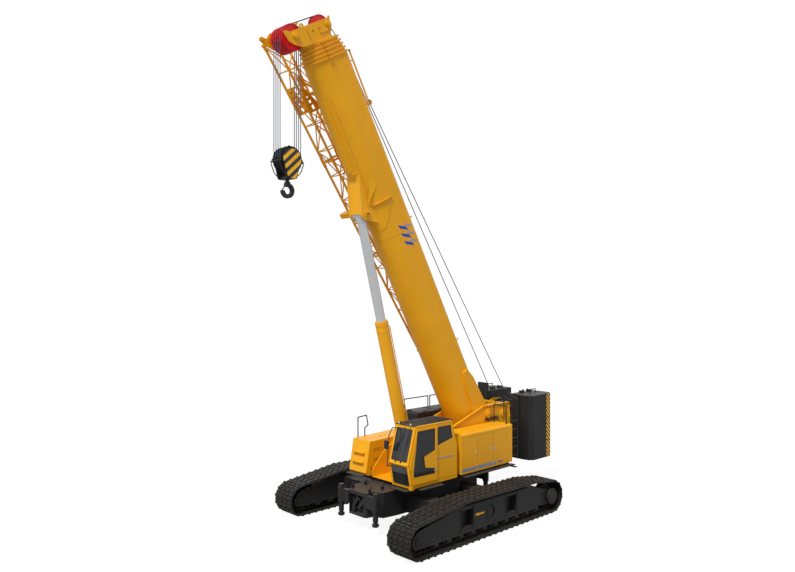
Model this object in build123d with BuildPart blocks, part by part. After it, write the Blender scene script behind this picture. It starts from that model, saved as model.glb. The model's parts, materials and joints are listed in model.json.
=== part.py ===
from build123d import *

import os
from math import acos, atan2, cos, hypot, pi, radians, sin

# Telescopic crawler crane of about 130 t, on its spread tracks with the boom raised.
# Millimetres. +X forward, +Y left, +Z up. The origin is on the ground under the slewing axis.

os.makedirs("parts", exist_ok=True)

# ------------------------------------------------------------------ clearances
SEAT = 0.3  # pieces that rest on, or run in, one another
RUN = 6.0  # moving pieces that pass one another
PIN_FIT = 0.1  # radial, pin in its bore

# ------------------------------------------------------------------ crawler tracks
GAUGE = 5370.0  # between the track centres, frames run out
SHOE_WIDTH = 900.0
SHOE_PITCH = 262.0
SHOE_DEPTH = 60.0
SHOE_GAP = 14.0  # half the gap between two shoes, at the ground side
SHOE_NOTCH = 38.0
LINK_DEPTH = 70.0  # of the chain inside the shoes
LINK_WIDTH = 250.0
IDLER = (2950.0, 500.0, 500.0)  # X, Z and radius of the loop round it
SPROCKET = (-3180.0, 530.0, 530.0)
FRONT_CARRIER = (1050.0, 1035.0, 200.0)
REAR_CARRIER = (-2150.0, 1000.0, 200.0)
WHEEL_WIDTH = 190.0
IDLER_AXLE = 60.0
SPROCKET_TEETH = 16
TOOTH_HEIGHT = 34.0
FRAME_HALF_WIDTH = 300.0
FRAME_PLATE = 40.0
FRAME_BOTTOM = 290.0
FRAME_TOP = 1060.0
FRAME_NOSE = 2380.0  # where the box ends and the idler cheeks go on
FRAME_REAR = -2700.0
FRAME_RIB = 18.0  # how far flanges and ribs stand out of the side plates
FRAME_RECESS = 220.0
ROLLER_RADIUS = 115.0
ROLLER_HALF = 130.0
ROLLER_PITCH = 520.0
ROLLER_COUNT = 10
CARRIER_HALF = 60.0
DRIVE_RADIUS = 255.0
DRIVE_OUTER = 415.0  # final drive face beyond the track centre

# ------------------------------------------------------------------ carbody
BEAM_X = (940.0, -1120.0)
BEAM_WIDTH = 480.0
BEAM_BOTTOM = 440.0
BEAM_TOP = 940.0
BEAM_END = 2760.0  # half span of the cross beams
BODY_BOTTOM = 400.0
BODY_TOP = 1190.0
NOSE_X = 2600.0
NOSE_HALF = 415.0
SPINE_HALF = 700.0
HUB_HALF = 1180.0  # widest part of the body, between the beams
JACK_X = 2547.0
JACK_Y = 795.0
JACK_TUBE = 82.0
JACK_ROD = 56.0
JACK_TUBE_BOTTOM = 430.0
JACK_TOP = 1262.0
JACK_FOOT = 105.0
JACK_FOOT_BOTTOM = 285.0
JACK_FOOT_HEIGHT = 90.0
RING_RADIUS = 880.0
RING_BORE = 620.0
RING_SEAT = 15.0
RING_SPLIT = 1245.0  # top of the fixed race

# ------------------------------------------------------------------ turntable
DECK_BOTTOM = 1300.0
DECK_PLATE = 20.0
BEARER = 90.0  # height of the arms that carry hoods
SIDE_DECK = 40.0  # height of the side decks
CHEEK_INNER = 580.0  # inside face of each turntable side plate
CHEEK_PLATE = 40.0
CHEEK_FRONT = 1420.0
CHEEK_REAR = -4150.0
CHEEK_FLANGE = 44.0
KNEE = (-2610.0, 3260.0)
FOOT_PIN = (-2880.0, 2990.0)  # X, Z of the boom foot
FOOT_PIN_RADIUS = 90.0
WINCH_PIN = (-3700.0, 2880.0)
WINCH_SHAFT = 70.0
AUX_WINCH_PIN = (-4690.0, 2900.0)
AUX_WINCH_SHAFT = 60.0
AUX_HALF = 390.0
AUX_PLATE = 40.0
DRUM_RADIUS = 215.0
DRUM_FLANGE = 310.0

# ------------------------------------------------------------------ boom
LUFF = 61.0  # degrees above the horizontal, as it stands
BOOM_WIDTH = 1000.0
BOOM_HEIGHT = 1230.0
SECTION_STEP = 20.0  # each section is this much smaller all round
TUBE_WALL = 10.0
CROWN = 110.0  # chamfer at the two top corners
BASE_START = 250.0
BASE_END = 12950.0
COLLAR_PITCH = 116.0
COLLAR_LENGTH = 56.0
COLLAR_RISE = 34.0
SECTION_COUNT = 6
SECTION_TAIL = 900.0  # how far from the foot pin the second section starts
TAIL_STEP = 140.0
HEAD_AXLE = 13780.0
FRONT_SHEAVE_N = -1530.0  # sheave axles, measured square to the boom's top
TOP_SHEAVE_N = -260.0
SHEAVE_RADIUS = 370.0
TOP_SHEAVE_RADIUS = 345.0
SHEAVE_WIDTH = 62.0
SHEAVE_PITCH = 100.0
GROOVE = 36.0
FRONT_SHEAVES = 6
TOP_SHEAVES = 2
FALL_SHEAVES = 4
AXLE_RADIUS = 70.0
HEAD_PLATE = 30.0
HEAD_HALF = 366.0  # inside face of each head plate
CYLINDER_EYE = (8360.0, -1460.0)  # along the boom, square to its top
EYE_RADIUS = 165.0
EYE_HALF = 222.0
EYE_LUG = 72.0
CYLINDER_PIN = 75.0
PIPE_OVER = 250.0  # rope pipe above the boom's top
PIPE_SIDE = 300.0
PIPE_RADIUS = 26.0

# ------------------------------------------------------------------ luffing cylinder
CYLINDER_FOOT = (352.0, 1545.0)
FOOT_EYE_HALF = 215.0
FOOT_LUG = 60.0
BARREL_RADIUS = 205.0
BARREL_LENGTH = 4930.0  # foot pin to gland
GLAND_RISE = 8.0
ROD_RADIUS = 150.0

# ------------------------------------------------------------------ jib folded along the boom
JIB_TIP = 2650.0  # along the boom
JIB_FORK = 13850.0
JIB_BAYS = 13
CHORD = 38.0
LACING = 18.0
# over the boom and side of each chord: at the tip, then at the fork
JIB_CORNERS = (
    (80, -890, -560, -760),
    (80, -1230, -560, -1330),
    (-320, -1230, -1360, -1330),
    (-320, -890, -1360, -760),
)
JIB_SEATS = ((4300, 3), (8700, 0), (12300, 0))  # along the boom, chord that sits there

# ------------------------------------------------------------------ hook
FALL_RADIUS = 11.0
BLOCK_Z = 10930.0  # axle of the hook block's sheaves
BLOCK_PLATE = 40.0
SWIVEL_Z = 10430.0
SHANK_RADIUS = 52.0
HOOK_THROAT = 105.0
HOOK_BOWL = 215.0

# ------------------------------------------------------------------ cab
CAB_INNER = 628.0
CAB_OUTER = 1455.0
CAB_WALL = 45.0
CAB_TOE = (1690.0, 1360.0)
CAB_NOSE = (1850.0, 2090.0)
CAB_BROW = (1545.0, 3185.0)
CAB_NAPE = (-90.0, 3185.0)
CAB_HIP = (-330.0, 2400.0)
CAB_HEEL = (-340.0, 1360.0)
PANE = 8.0
PILLAR = 75.0  # frame left round the front and rear panes
DOOR_THICK = 40.0
DOOR_REAR = 620.0
DOOR_BOTTOM = 1480.0
DOOR_LAP = 30.0  # how far the door laps its opening
DOOR_WINDOW = (
    (1486, 3060),
    (740, 3065),
    (740, 2410),
    (1211, 2265),
    (1160, 1928),
    (740, 1855),
    (740, 1690),
    (1655, 1715),
    (1640, 1950),
    (1560, 2499),
)
QUARTER_WINDOW = ((560, 3065), (-20, 3065), (-110, 2660), (560, 2515))
RIGHT_WINDOW = ((1440, 3060), (60, 3065), (60, 2100), (1640, 2100))

# ------------------------------------------------------------------ hoods
HOOD_OUTER = 1450.0
HOOD_INNER = 670.0
HOOD_FRONT = -540.0
HOOD_REAR = -3180.0
HOOD_TOP = 2680.0
HOOD_WALL = 30.0
HOOD_CORNER = 70.0
HOOD_DOOR_X = ((-600.0, -1336.0), (-1336.0, -2151.0), (-2151.0, -2900.0))
HOOD_DOOR_Z = (1440.0, 2560.0)
HOOD_POST = 24.0
HINGE_RADIUS = 8.0
HINGE_SIDES = (1, 1, -1)  # 1 for a door hung on its front edge, -1 on its rear edge
RIGHT_HOOD_REAR = -640.0
RIGHT_HOOD_OUTER = 1500.0
TANK_X = (-3300.0, -700.0)
TANK_TOP = 3080.0

# ------------------------------------------------------------------ counterweight
WEIGHT_FRONT = -4270.0
WEIGHT_REAR = -5660.0
WEIGHT_INNER = 490.0
WEIGHT_OUTER = 1430.0
WEIGHT_BOTTOM = 1210.0
SLAB_HEIGHTS = (610.0, 830.0, 860.0)
SLAB_JOINT = 6.0

# ------------------------------------------------------------------ rails and steps
RAIL = 19.0
STEP_PLATE = 25.0


# ------------------------------------------------------------------ frames of reference and operations
UP = (cos(radians(LUFF)), 0, sin(radians(LUFF)))  # along the boom
OVER = (-UP[2], 0, UP[0])  # square to the boom's top
BOOM_FOOT = Vector(FOOT_PIN[0], 0, FOOT_PIN[1])
BASE_UP = (Align.CENTER, Align.CENTER, Align.MIN)


def on_boom(along, over, side=0.0):
    """The point so far along the boom, over its top and to its left."""
    return BOOM_FOOT + Vector(*UP) * along + Vector(*OVER) * over + Vector(0, side, 0)


def boom_side(side):
    """The plane across the boom that faces right: its X runs along the boom, its Y over it."""
    return Plane(on_boom(0, 0, side), x_dir=UP, z_dir=(0, -1, 0))


def boom_square(along):
    """The plane square to the boom: its X runs left, its Y over the boom."""
    return Plane(on_boom(along, 0), x_dir=(0, 1, 0), z_dir=UP)


def side_view(left):
    """The upright plane at Y = left that faces right: its X runs forward, its Y up."""
    return Plane.XZ.offset(-left)


def block(x, y, z, mode=Mode.ADD):
    """A box between two X, two Y and two Z planes."""
    with Locations(((x[0] + x[1]) / 2, (y[0] + y[1]) / 2, (z[0] + z[1]) / 2)):
        Box(abs(x[1] - x[0]), abs(y[1] - y[0]), abs(z[1] - z[0]), mode=mode)


def prism(outline, plane, depth, mode=Mode.ADD):
    """An outline extruded from its plane, joined to the piece in hand."""
    with BuildSketch(plane) as sketch:
        with BuildLine():
            Polyline(*outline, close=True)
        make_face()
    extrude(sketch.sketch, amount=depth, mode=mode)


def disc(plane, centre, radius, depth, mode=Mode.ADD):
    """A round extruded from its plane, joined to the piece in hand."""
    with BuildSketch(plane) as sketch:
        with Locations(centre):
            Circle(radius)
    extrude(sketch.sketch, amount=depth, mode=mode)


def bar(start, end, radius, mode=Mode.ADD):
    """A round bar from point to point, joined to the piece in hand."""
    start, end = Vector(*start), Vector(*end)
    with BuildSketch(Plane(start, z_dir=end - start)) as sketch:
        Circle(radius)
    extrude(sketch.sketch, amount=(end - start).length, mode=mode)


def rail(points, radius=RAIL):
    """Round tube along a run of points, with a ball at each bend."""
    for start, end in zip(points, points[1:]):
        bar(start, end, radius)
    for bend in points[1:-1]:
        with Locations(bend):
            Sphere(radius)


def inset(outline, amount):
    """The face of an outline moved inwards."""
    with BuildSketch() as face:
        with BuildLine():
            Polyline(*outline, close=True)
        make_face()
        offset(amount=-amount, kind=Kind.INTERSECTION)
    return face.sketch


# ------------------------------------------------------------------ track loop
LOOP_WHEELS = (SPROCKET, IDLER, FRONT_CARRIER, REAR_CARRIER)
CHAIN_INSIDE = SHOE_DEPTH + LINK_DEPTH
ROLLER_Z = CHAIN_INSIDE + SEAT + ROLLER_RADIUS
ROLLER_ROOF = ROLLER_Z + ROLLER_RADIUS + RUN


def loop_normals():
    """The direction square to each straight run of the belt line."""
    normals = []
    for (x1, z1, r1), (x2, z2, r2) in zip(LOOP_WHEELS, LOOP_WHEELS[1:] + LOOP_WHEELS[:1]):
        span = hypot(x2 - x1, z2 - z1)
        normals.append(atan2(z2 - z1, x2 - x1) - acos((r1 - r2) / span))
    return normals


def loop_pieces():
    """The belt line as straight runs and arcs: length, start wheel, end wheel and direction."""
    normals = loop_normals()
    pieces = []
    for i, (wheel, n) in enumerate(zip(LOOP_WHEELS, normals)):
        following = LOOP_WHEELS[(i + 1) % len(LOOP_WHEELS)]
        span = hypot(following[0] - wheel[0], following[1] - wheel[1])
        straight = (span**2 - (wheel[2] - following[2]) ** 2) ** 0.5
        pieces.append((straight, wheel, following, n))
        turn = (normals[(i + 1) % len(normals)] - n) % (2 * pi)
        pieces.append((following[2] * turn, following, following, n))
    return pieces


LOOP_PIECES = loop_pieces()
LOOP_LENGTH = sum(piece[0] for piece in LOOP_PIECES)
SHOE_COUNT = round(LOOP_LENGTH / SHOE_PITCH)


def loop_point(distance, depth):
    """The point so far round the belt line and so deep inside it."""
    distance %= LOOP_LENGTH
    for length, (x1, z1, r1), (x2, z2, r2), n in LOOP_PIECES:
        if distance <= length:
            break
        distance -= length
    if (x1, z1) == (x2, z2):
        n += distance / r1
        return x1 + (r1 - depth) * cos(n), z1 + (r1 - depth) * sin(n)
    share = distance / length
    x = x1 + (r1 - depth) * cos(n) + share * (x2 - x1 + (r2 - r1) * cos(n))
    z = z1 + (r1 - depth) * sin(n) + share * (z2 - z1 + (r2 - r1) * sin(n))
    return x, z


def loop_face(depth):
    """The face inside the belt line moved inwards."""
    with BuildSketch() as face:
        for x, z, r in LOOP_WHEELS:
            with Locations((x, z)):
                Circle(r - depth)
        make_hull()
    return face.sketch


def track_chain(centre):
    """Shoes and links of one track, as one closed loop."""
    pitch = LOOP_LENGTH / SHOE_COUNT
    outline = []
    for i in range(SHOE_COUNT):
        for shift, depth in (
            (SHOE_GAP, 0),
            (pitch - SHOE_GAP, 0),
            (pitch - SHOE_GAP / 2, SHOE_NOTCH),
            (pitch + SHOE_GAP / 2, SHOE_NOTCH),
        ):
            outline.append(loop_point(i * pitch + shift, depth))
    with BuildPart() as chain:
        with BuildSketch(side_view(centre + SHOE_WIDTH / 2)):
            with BuildLine():
                Polyline(*outline, close=True)
            make_face()
            add(loop_face(SHOE_DEPTH), mode=Mode.SUBTRACT)
        extrude(amount=SHOE_WIDTH)
        with BuildSketch(side_view(centre + LINK_WIDTH / 2)):
            add(loop_face(SHOE_DEPTH))
            add(loop_face(CHAIN_INSIDE), mode=Mode.SUBTRACT)
        extrude(amount=LINK_WIDTH)
    return chain.part


def track_frame(centre, outward):
    """Side frame of one track: box, idler cheeks, beam sockets, roller channel and drive bracket."""
    half = FRAME_HALF_WIDTH
    left, right = centre + half, centre - half
    box = (
        (FRAME_REAR, FRAME_BOTTOM + 60),
        (FRAME_REAR + 260, FRAME_BOTTOM),
        (FRAME_NOSE, FRAME_BOTTOM),
        (FRAME_NOSE, FRAME_TOP - 190),
        (FRONT_CARRIER[0] + 200, FRAME_TOP),
        (REAR_CARRIER[0] + 150, FRAME_TOP - 40),
        (FRAME_REAR, FRAME_TOP - 180),
    )
    with BuildPart() as frame:
        prism(box, side_view(left), 2 * half)
        # cheeks that carry the idler between them
        tip = (IDLER[0] + 240, IDLER[1])
        low = (IDLER[0] + 120, FRAME_BOTTOM)
        high = (IDLER[0] - 90, FRAME_TOP - 270)
        for face in (left, right + FRAME_PLATE):
            with BuildSketch(side_view(face)):
                with BuildLine():
                    Line((FRAME_NOSE - 80, FRAME_BOTTOM), low)
                    ThreePointArc(low, (IDLER[0] + 215, IDLER[1] - 110), tip)
                    ThreePointArc(tip, (IDLER[0] + 130, IDLER[1] + 180), high)
                    Polyline(high, (FRAME_NOSE - 80, FRAME_TOP - 180), (FRAME_NOSE - 80, FRAME_BOTTOM))
                make_face()
            extrude(amount=FRAME_PLATE)
        disc(side_view(left), IDLER[:2], IDLER_AXLE, 2 * half)
        for face in (left + FRAME_RIB, right):
            disc(side_view(face), IDLER[:2], IDLER_AXLE + 60, FRAME_RIB)
            prism(
                (
                    (FRAME_REAR + 260, FRAME_BOTTOM),
                    (IDLER[0], FRAME_BOTTOM),
                    (IDLER[0], FRAME_BOTTOM + 35),
                    (FRAME_REAR + 260, FRAME_BOTTOM + 35),
                ),
                side_view(face),
                FRAME_RIB,
            )
        # upright ribs each side of the beam windows, and the round recess between them
        for x in BEAM_X:
            for rib_x in (x - BEAM_WIDTH / 2 - 45, x + BEAM_WIDTH / 2 + 20):
                for face in (left + FRAME_RIB, right):
                    height = (FRAME_BOTTOM + 35, FRAME_TOP - 60)
                    block((rib_x, rib_x + 25), (face - FRAME_RIB, face), height)
        middle = sum(BEAM_X) / 2
        recess = left if outward > 0 else right + FRAME_PLATE
        disc(side_view(recess), (middle, FRAME_BOTTOM + 360), FRAME_RECESS, FRAME_PLATE, Mode.SUBTRACT)
        # channel for the bottom rollers
        roof = (FRAME_BOTTOM - RUN, ROLLER_ROOF)
        channel = ROLLER_HALF + 52
        block((FRAME_REAR - RUN, FRAME_NOSE + RUN), (centre - channel, centre + channel), roof, Mode.SUBTRACT)
        # sockets that slide on the cross beams, with wear strips above and beneath the beam
        mouth = (right, right + 120) if outward > 0 else (left - 120, left)
        for x in BEAM_X:
            slot = (x - BEAM_WIDTH / 2 - RUN, x + BEAM_WIDTH / 2 + RUN)
            block(slot, (right, left), (BEAM_BOTTOM - RUN, BEAM_TOP + RUN), Mode.SUBTRACT)
            block(slot, mouth, (BEAM_TOP + SEAT, BEAM_TOP + RUN))
            block(slot, mouth, (BEAM_BOTTOM - RUN, BEAM_BOTTOM - SEAT))
        # pockets for the carrier rollers
        for x, z, r in (FRONT_CARRIER, REAR_CARRIER):
            pocket = (z - r + CHAIN_INSIDE - RUN, FRAME_TOP)
            y = (centre - CARRIER_HALF - 15, centre + CARRIER_HALF + 15)
            block((x - 110, x + 110), y, pocket, Mode.SUBTRACT)
        # drive bracket reaching back beside the sprocket, with two ribs
        inner = centre + outward * (half - FRAME_PLATE)
        y = (inner, inner + outward * FRAME_PLATE)
        for z in (SPROCKET[1] + 190, SPROCKET[1] - 225):
            block((SPROCKET[0] + 120, FRAME_REAR + 20), y, (z, z + 35))
        bracket = (
            (FRAME_REAR + 40, SPROCKET[1] - 150),
            (FRAME_REAR + 40, SPROCKET[1] + 330),
            (SPROCKET[0], SPROCKET[1] + 230),
            (SPROCKET[0], SPROCKET[1] - 230),
        )
        prism(bracket, side_view(max(y)), FRAME_PLATE)
    return frame.part


def final_drive(centre, outward):
    """Planetary drive outside the bracket and its hub inside, on the sprocket's axis."""
    plate = centre + outward * FRAME_HALF_WIDTH
    cover = centre + outward * DRIVE_OUTER
    with BuildPart() as drive:
        near, far = plate + outward * SEAT, cover
        disc(side_view(max(near, far)), SPROCKET[:2], DRIVE_RADIUS, abs(far - near))
        fillet(drive.edges().filter_by(GeomType.CIRCLE).sort_by(Axis.Y)[-1 if outward > 0 else 0], 25)
        disc(side_view(max(far, far + outward * 14)), SPROCKET[:2], DRIVE_RADIUS * 0.6, 14)
        near = centre + outward * (WHEEL_WIDTH / 2 + SEAT)
        far = plate - outward * (FRAME_PLATE + SEAT)
        disc(side_view(max(near, far)), SPROCKET[:2], DRIVE_RADIUS * 0.75, abs(far - near))
    return drive.part


def sprocket(centre):
    """Toothed drive wheel inside the rear of the loop."""
    tip = SPROCKET[2] - CHAIN_INSIDE - SEAT
    root = tip - TOOTH_HEIGHT
    with BuildPart() as wheel:
        with BuildSketch(side_view(centre + WHEEL_WIDTH / 2)):
            with Locations(SPROCKET[:2]):
                Circle(root)
                with PolarLocations(root, SPROCKET_TEETH):
                    Trapezoid(70, TOOTH_HEIGHT * 1.9, 68, rotation=-90)
                with PolarLocations(root * 0.6, 6):
                    Circle(52, mode=Mode.SUBTRACT)
        extrude(amount=WHEEL_WIDTH)
    return wheel.part


def idler(centre):
    """Front guide wheel with a rim at each side and a dished web."""
    radius = IDLER[2] - CHAIN_INSIDE - SEAT
    half = WHEEL_WIDTH / 2
    bore = IDLER_AXLE + PIN_FIT
    section = (
        (bore, -half),
        (bore + 90, -half),
        (bore + 110, -half + 45),
        (radius - 80, -half + 45),
        (radius - 50, -half),
        (radius, -half),
    )
    with BuildPart() as wheel:
        with BuildSketch(Plane.XY):
            with BuildLine():
                Polyline(*section, *((r, -y) for r, y in reversed(section)), close=True)
            make_face()
        revolve(axis=Axis.Y)
    return Pos(IDLER[0], centre, IDLER[1]) * wheel.part


def rollers(centre):
    """Bottom rollers in a row with their bearing plates, and two carrier rollers above."""
    first = (sum(BEAM_X) - ROLLER_PITCH * (ROLLER_COUNT - 1)) / 2
    bearing = 22
    with BuildPart() as row:
        for i in range(ROLLER_COUNT):
            axle = (first + i * ROLLER_PITCH, ROLLER_Z)
            disc(side_view(centre + ROLLER_HALF), axle, ROLLER_RADIUS, 2 * ROLLER_HALF)
            for left in (centre + ROLLER_HALF + bearing, centre - ROLLER_HALF):
                y = (left - bearing, left)
                block((axle[0] - 60, axle[0] + 60), y, (ROLLER_Z - 45, ROLLER_ROOF - SEAT))
        for x, z, r in (FRONT_CARRIER, REAR_CARRIER):
            disc(side_view(centre + CARRIER_HALF), (x, z), r - CHAIN_INSIDE - SEAT, 2 * CARRIER_HALF)
            disc(side_view(centre + CARRIER_HALF + 15), (x, z), 25, 2 * CARRIER_HALF + 30)
    return row.part


# ------------------------------------------------------------------ carbody and jacks
JACKS = {
    "front_left": (JACK_X, JACK_Y),
    "front_right": (JACK_X, -JACK_Y),
    "rear_left": (-JACK_X, JACK_Y),
    "rear_right": (-JACK_X, -JACK_Y),
}
quarter = (
    (NOSE_X, 0),
    (NOSE_X, NOSE_HALF - 60),
    (NOSE_X - 60, NOSE_HALF),
    (NOSE_X - 300, NOSE_HALF),
    (NOSE_X - 460, SPINE_HALF),
    (BEAM_X[0] + BEAM_WIDTH / 2, SPINE_HALF),
    (BEAM_X[0] - BEAM_WIDTH / 2 - 100, HUB_HALF),
)
rear_quarter = (
    (BEAM_X[1] + BEAM_WIDTH / 2 + 100, HUB_HALF),
    (BEAM_X[1] - BEAM_WIDTH / 2, SPINE_HALF),
    (-NOSE_X + 460, SPINE_HALF),
    (-NOSE_X + 300, NOSE_HALF),
    (-NOSE_X + 60, NOSE_HALF),
    (-NOSE_X, NOSE_HALF - 60),
    (-NOSE_X, 0),
)
left_plan = quarter + rear_quarter

with BuildPart() as carbody:
    with BuildSketch(Plane.XY.offset(BODY_BOTTOM)):
        with BuildLine():
            Polyline(*left_plan, close=True)
        make_face()
        mirror(about=Plane.XZ)
    extrude(amount=BODY_TOP - BODY_BOTTOM)
    for x in BEAM_X:
        block(
            (x - BEAM_WIDTH / 2, x + BEAM_WIDTH / 2),
            (-BEAM_END, BEAM_END),
            (BEAM_BOTTOM, BEAM_TOP),
        )
    for end in (1, -1):
        nose = end * NOSE_X
        # underside rising towards each end
        wedge = ((nose, BODY_BOTTOM), (nose, BODY_BOTTOM + 60), (nose - end * 1100, BODY_BOTTOM))
        prism(wedge, side_view(SPINE_HALF), 2 * SPINE_HALF, Mode.SUBTRACT)
        # pocket in the nose with two slanted draw tubes and a coupling socket
        pocket = (nose, nose - end * 170)
        block(pocket, (-NOSE_HALF + 70, NOSE_HALF - 110), (BODY_BOTTOM + 110, BODY_TOP - 110), Mode.SUBTRACT)
        for y in (-130, 150):
            with BuildSketch(Plane((nose - end * 170, y, 830), x_dir=(0, end, 0), z_dir=(end, 0, 0))):
                Rectangle(105, 400, rotation=-38)
            extrude(amount=120)
        disc(Plane((nose - end * 170, 0, 0), x_dir=(0, end, 0), z_dir=(end, 0, 0)), (-200, 610), 60, 130)
        # arms and clamps that carry the jacks
        for side in (1, -1):
            reach = (side * (NOSE_HALF - 5), side * JACK_Y)
            block((end * 2480, end * 2590), reach, (760, 1140))
        # lifting lugs on the spine
        for x in (NOSE_X - 180, NOSE_X - 700):
            for y in (-390, 390):
                lug = side_view(y + 16)
                block((end * x - 55, end * x + 55), (y - 16, y + 16), (BODY_TOP, BODY_TOP + 40))
                disc(lug, (end * x, BODY_TOP + 45), 55, 32)
                disc(lug, (end * x, BODY_TOP + 55), 22, 32, Mode.SUBTRACT)
    for x, y in JACKS.values():
        with Locations((x, y, 720)):
            Cylinder(JACK_TUBE + 26, 460, align=BASE_UP)
        with Locations((x, y, JACK_TUBE_BOTTOM)):
            Cylinder(JACK_TUBE, JACK_TOP, align=BASE_UP, mode=Mode.SUBTRACT)
    with Locations((0, 0, BODY_TOP)):
        Cylinder(RING_RADIUS + 40, RING_SEAT, align=BASE_UP)
    with Locations((0, 0, BODY_BOTTOM + 200)):
        Cylinder(RING_BORE - 40, BODY_TOP, align=BASE_UP, mode=Mode.SUBTRACT)

with BuildPart() as slew_ring:
    with Locations((0, 0, BODY_TOP + RING_SEAT)):
        Cylinder(RING_RADIUS, RING_SPLIT - BODY_TOP - RING_SEAT, align=BASE_UP)
        Cylinder(RING_BORE, RING_SPLIT, align=BASE_UP, mode=Mode.SUBTRACT)

with BuildPart() as jack_tubes:
    for x, y in JACKS.values():
        with Locations((x, y, JACK_TUBE_BOTTOM)):
            Cylinder(JACK_TUBE, JACK_TOP - JACK_TUBE_BOTTOM, align=BASE_UP)
            Cylinder(JACK_ROD + SEAT, JACK_TOP - JACK_TUBE_BOTTOM - 20, align=BASE_UP, mode=Mode.SUBTRACT)


def jack_leg(x, y):
    """Sliding rod of a jack with its eight-sided foot."""
    rod_top = JACK_TOP - 60
    with BuildPart() as leg:
        with BuildSketch(Plane.XY.offset(JACK_FOOT_BOTTOM)):
            with Locations((x, y)):
                RegularPolygon(JACK_FOOT, 8)
        extrude(amount=JACK_FOOT_HEIGHT)
        chamfer(leg.faces().sort_by(Axis.Z)[0].edges(), 20)
        with Locations((x, y, JACK_FOOT_BOTTOM + JACK_FOOT_HEIGHT)):
            Cylinder(JACK_ROD, rod_top - JACK_FOOT_BOTTOM - JACK_FOOT_HEIGHT, align=BASE_UP)
    return leg.part


# ------------------------------------------------------------------ turntable
CHEEK_TOP = ((820, 2170), (-1070, 2770), KNEE, (-4010, KNEE[1]), (CHEEK_REAR, 3120))
FLANGE_START = (-400, 2557)  # behind the cab, on the plate's top edge
LUG_INNER = FOOT_EYE_HALF + RUN

with BuildPart() as turntable:
    cheek = ((CHEEK_FRONT, DECK_BOTTOM), (CHEEK_FRONT, 1560), *CHEEK_TOP, (CHEEK_REAR, DECK_BOTTOM))
    for side in (1, -1):
        left = CHEEK_INNER + CHEEK_PLATE if side > 0 else -CHEEK_INNER
        prism(cheek, side_view(left), CHEEK_PLATE)
        # flange along the top edge, outside the plate
        edge = (FLANGE_START, *CHEEK_TOP[1:]) if side > 0 else CHEEK_TOP
        band = edge + tuple((x, z - 22) for x, z in reversed(edge))
        outer = side * (CHEEK_INNER + CHEEK_PLATE)
        flange = side_view(outer + CHEEK_FLANGE if side > 0 else outer)
        prism(band, flange, CHEEK_FLANGE)
        # bosses round the boom foot pin and the winch shaft
        face = side_view(outer + 20 if side > 0 else outer)
        for centre, radius in ((FOOT_PIN, FOOT_PIN_RADIUS + 75), (WINCH_PIN, WINCH_SHAFT + 80)):
            disc(face, centre, radius, 20)
        # upright stiffeners of the rear part
        for x in (-3250, -4100):
            block((x - 12, x + 12), (outer, outer + side * 30), (HOOD_TOP + 30, KNEE[1] - 90))
    # cross walls
    block((CHEEK_REAR, CHEEK_REAR + 40), (-CHEEK_INNER, CHEEK_INNER), (DECK_BOTTOM, 2450))
    block((-2300, -2260), (-CHEEK_INNER, CHEEK_INNER), (DECK_BOTTOM, 1700))
    block((CHEEK_REAR, CHEEK_FRONT), (-CHEEK_INNER, CHEEK_INNER), (DECK_BOTTOM, DECK_BOTTOM + DECK_PLATE))
    # open truss over the winch bay
    for x in (-4060, -3400):
        block((x, x + 90), (-CHEEK_INNER, CHEEK_INNER), (3130, 3200))
    for side in (1, -1):
        bar((-4010, side * 520, 3165), (-3360, side * 40, 3165), 28)
    # cylinder foot lugs with their pin bosses
    foot_x, foot_z = CYLINDER_FOOT
    for left in (LUG_INNER + FOOT_LUG, -LUG_INNER):
        with BuildSketch(side_view(left)):
            with Locations(CYLINDER_FOOT):
                Circle(165)
            with Locations((foot_x - 270, DECK_BOTTOM + DECK_PLATE), (foot_x + 270, DECK_BOTTOM + DECK_PLATE)):
                Circle(10)
            make_hull()
        extrude(amount=FOOT_LUG)
    for left in (LUG_INNER + FOOT_LUG + 30, -LUG_INNER - FOOT_LUG):
        disc(side_view(left), CYLINDER_FOOT, 95, 30)
    # bores for the boom foot pin and the winch shaft
    across = 2 * (CHEEK_INNER + CHEEK_PLATE + 30)
    disc(side_view(across / 2), FOOT_PIN, FOOT_PIN_RADIUS + PIN_FIT, across, Mode.SUBTRACT)
    disc(side_view(across / 2), WINCH_PIN, WINCH_SHAFT + PIN_FIT, across, Mode.SUBTRACT)

with BuildPart() as deck:
    outer = CHEEK_INNER + CHEEK_PLATE
    for side in (1, -1):
        for x in (-3000, -1900, -800):
            block((x - 60, x + 60), (side * outer, side * 1400), (DECK_BOTTOM, DECK_BOTTOM + BEARER))
        beam = (side * 1330, side * 1400)
        block((-3060, -660), beam, (DECK_BOTTOM, DECK_BOTTOM + BEARER))
    block((-600, 1500), (-1420, -outer), (DECK_BOTTOM, DECK_BOTTOM + SIDE_DECK))
    block((-400, 1500), (outer, 1400), (DECK_BOTTOM, DECK_BOTTOM + SIDE_DECK))
    # rubber mounts under the cab
    cab_gap = CAB_HEEL[1] - DECK_BOTTOM - SIDE_DECK
    for x in (-200, 1400):
        for y in (CAB_INNER + 80, CAB_OUTER - 140):
            with Locations((x, y, DECK_BOTTOM + SIDE_DECK)):
                Cylinder(45, cab_gap, align=BASE_UP)
    # rotating race of the slewing ring
    with Locations((0, 0, RING_SPLIT + SEAT)):
        Cylinder(RING_RADIUS - 20, DECK_BOTTOM - RING_SPLIT - SEAT, align=BASE_UP)
        Cylinder(RING_BORE + 20, DECK_BOTTOM - RING_SPLIT - SEAT, align=BASE_UP, mode=Mode.SUBTRACT)

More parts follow.
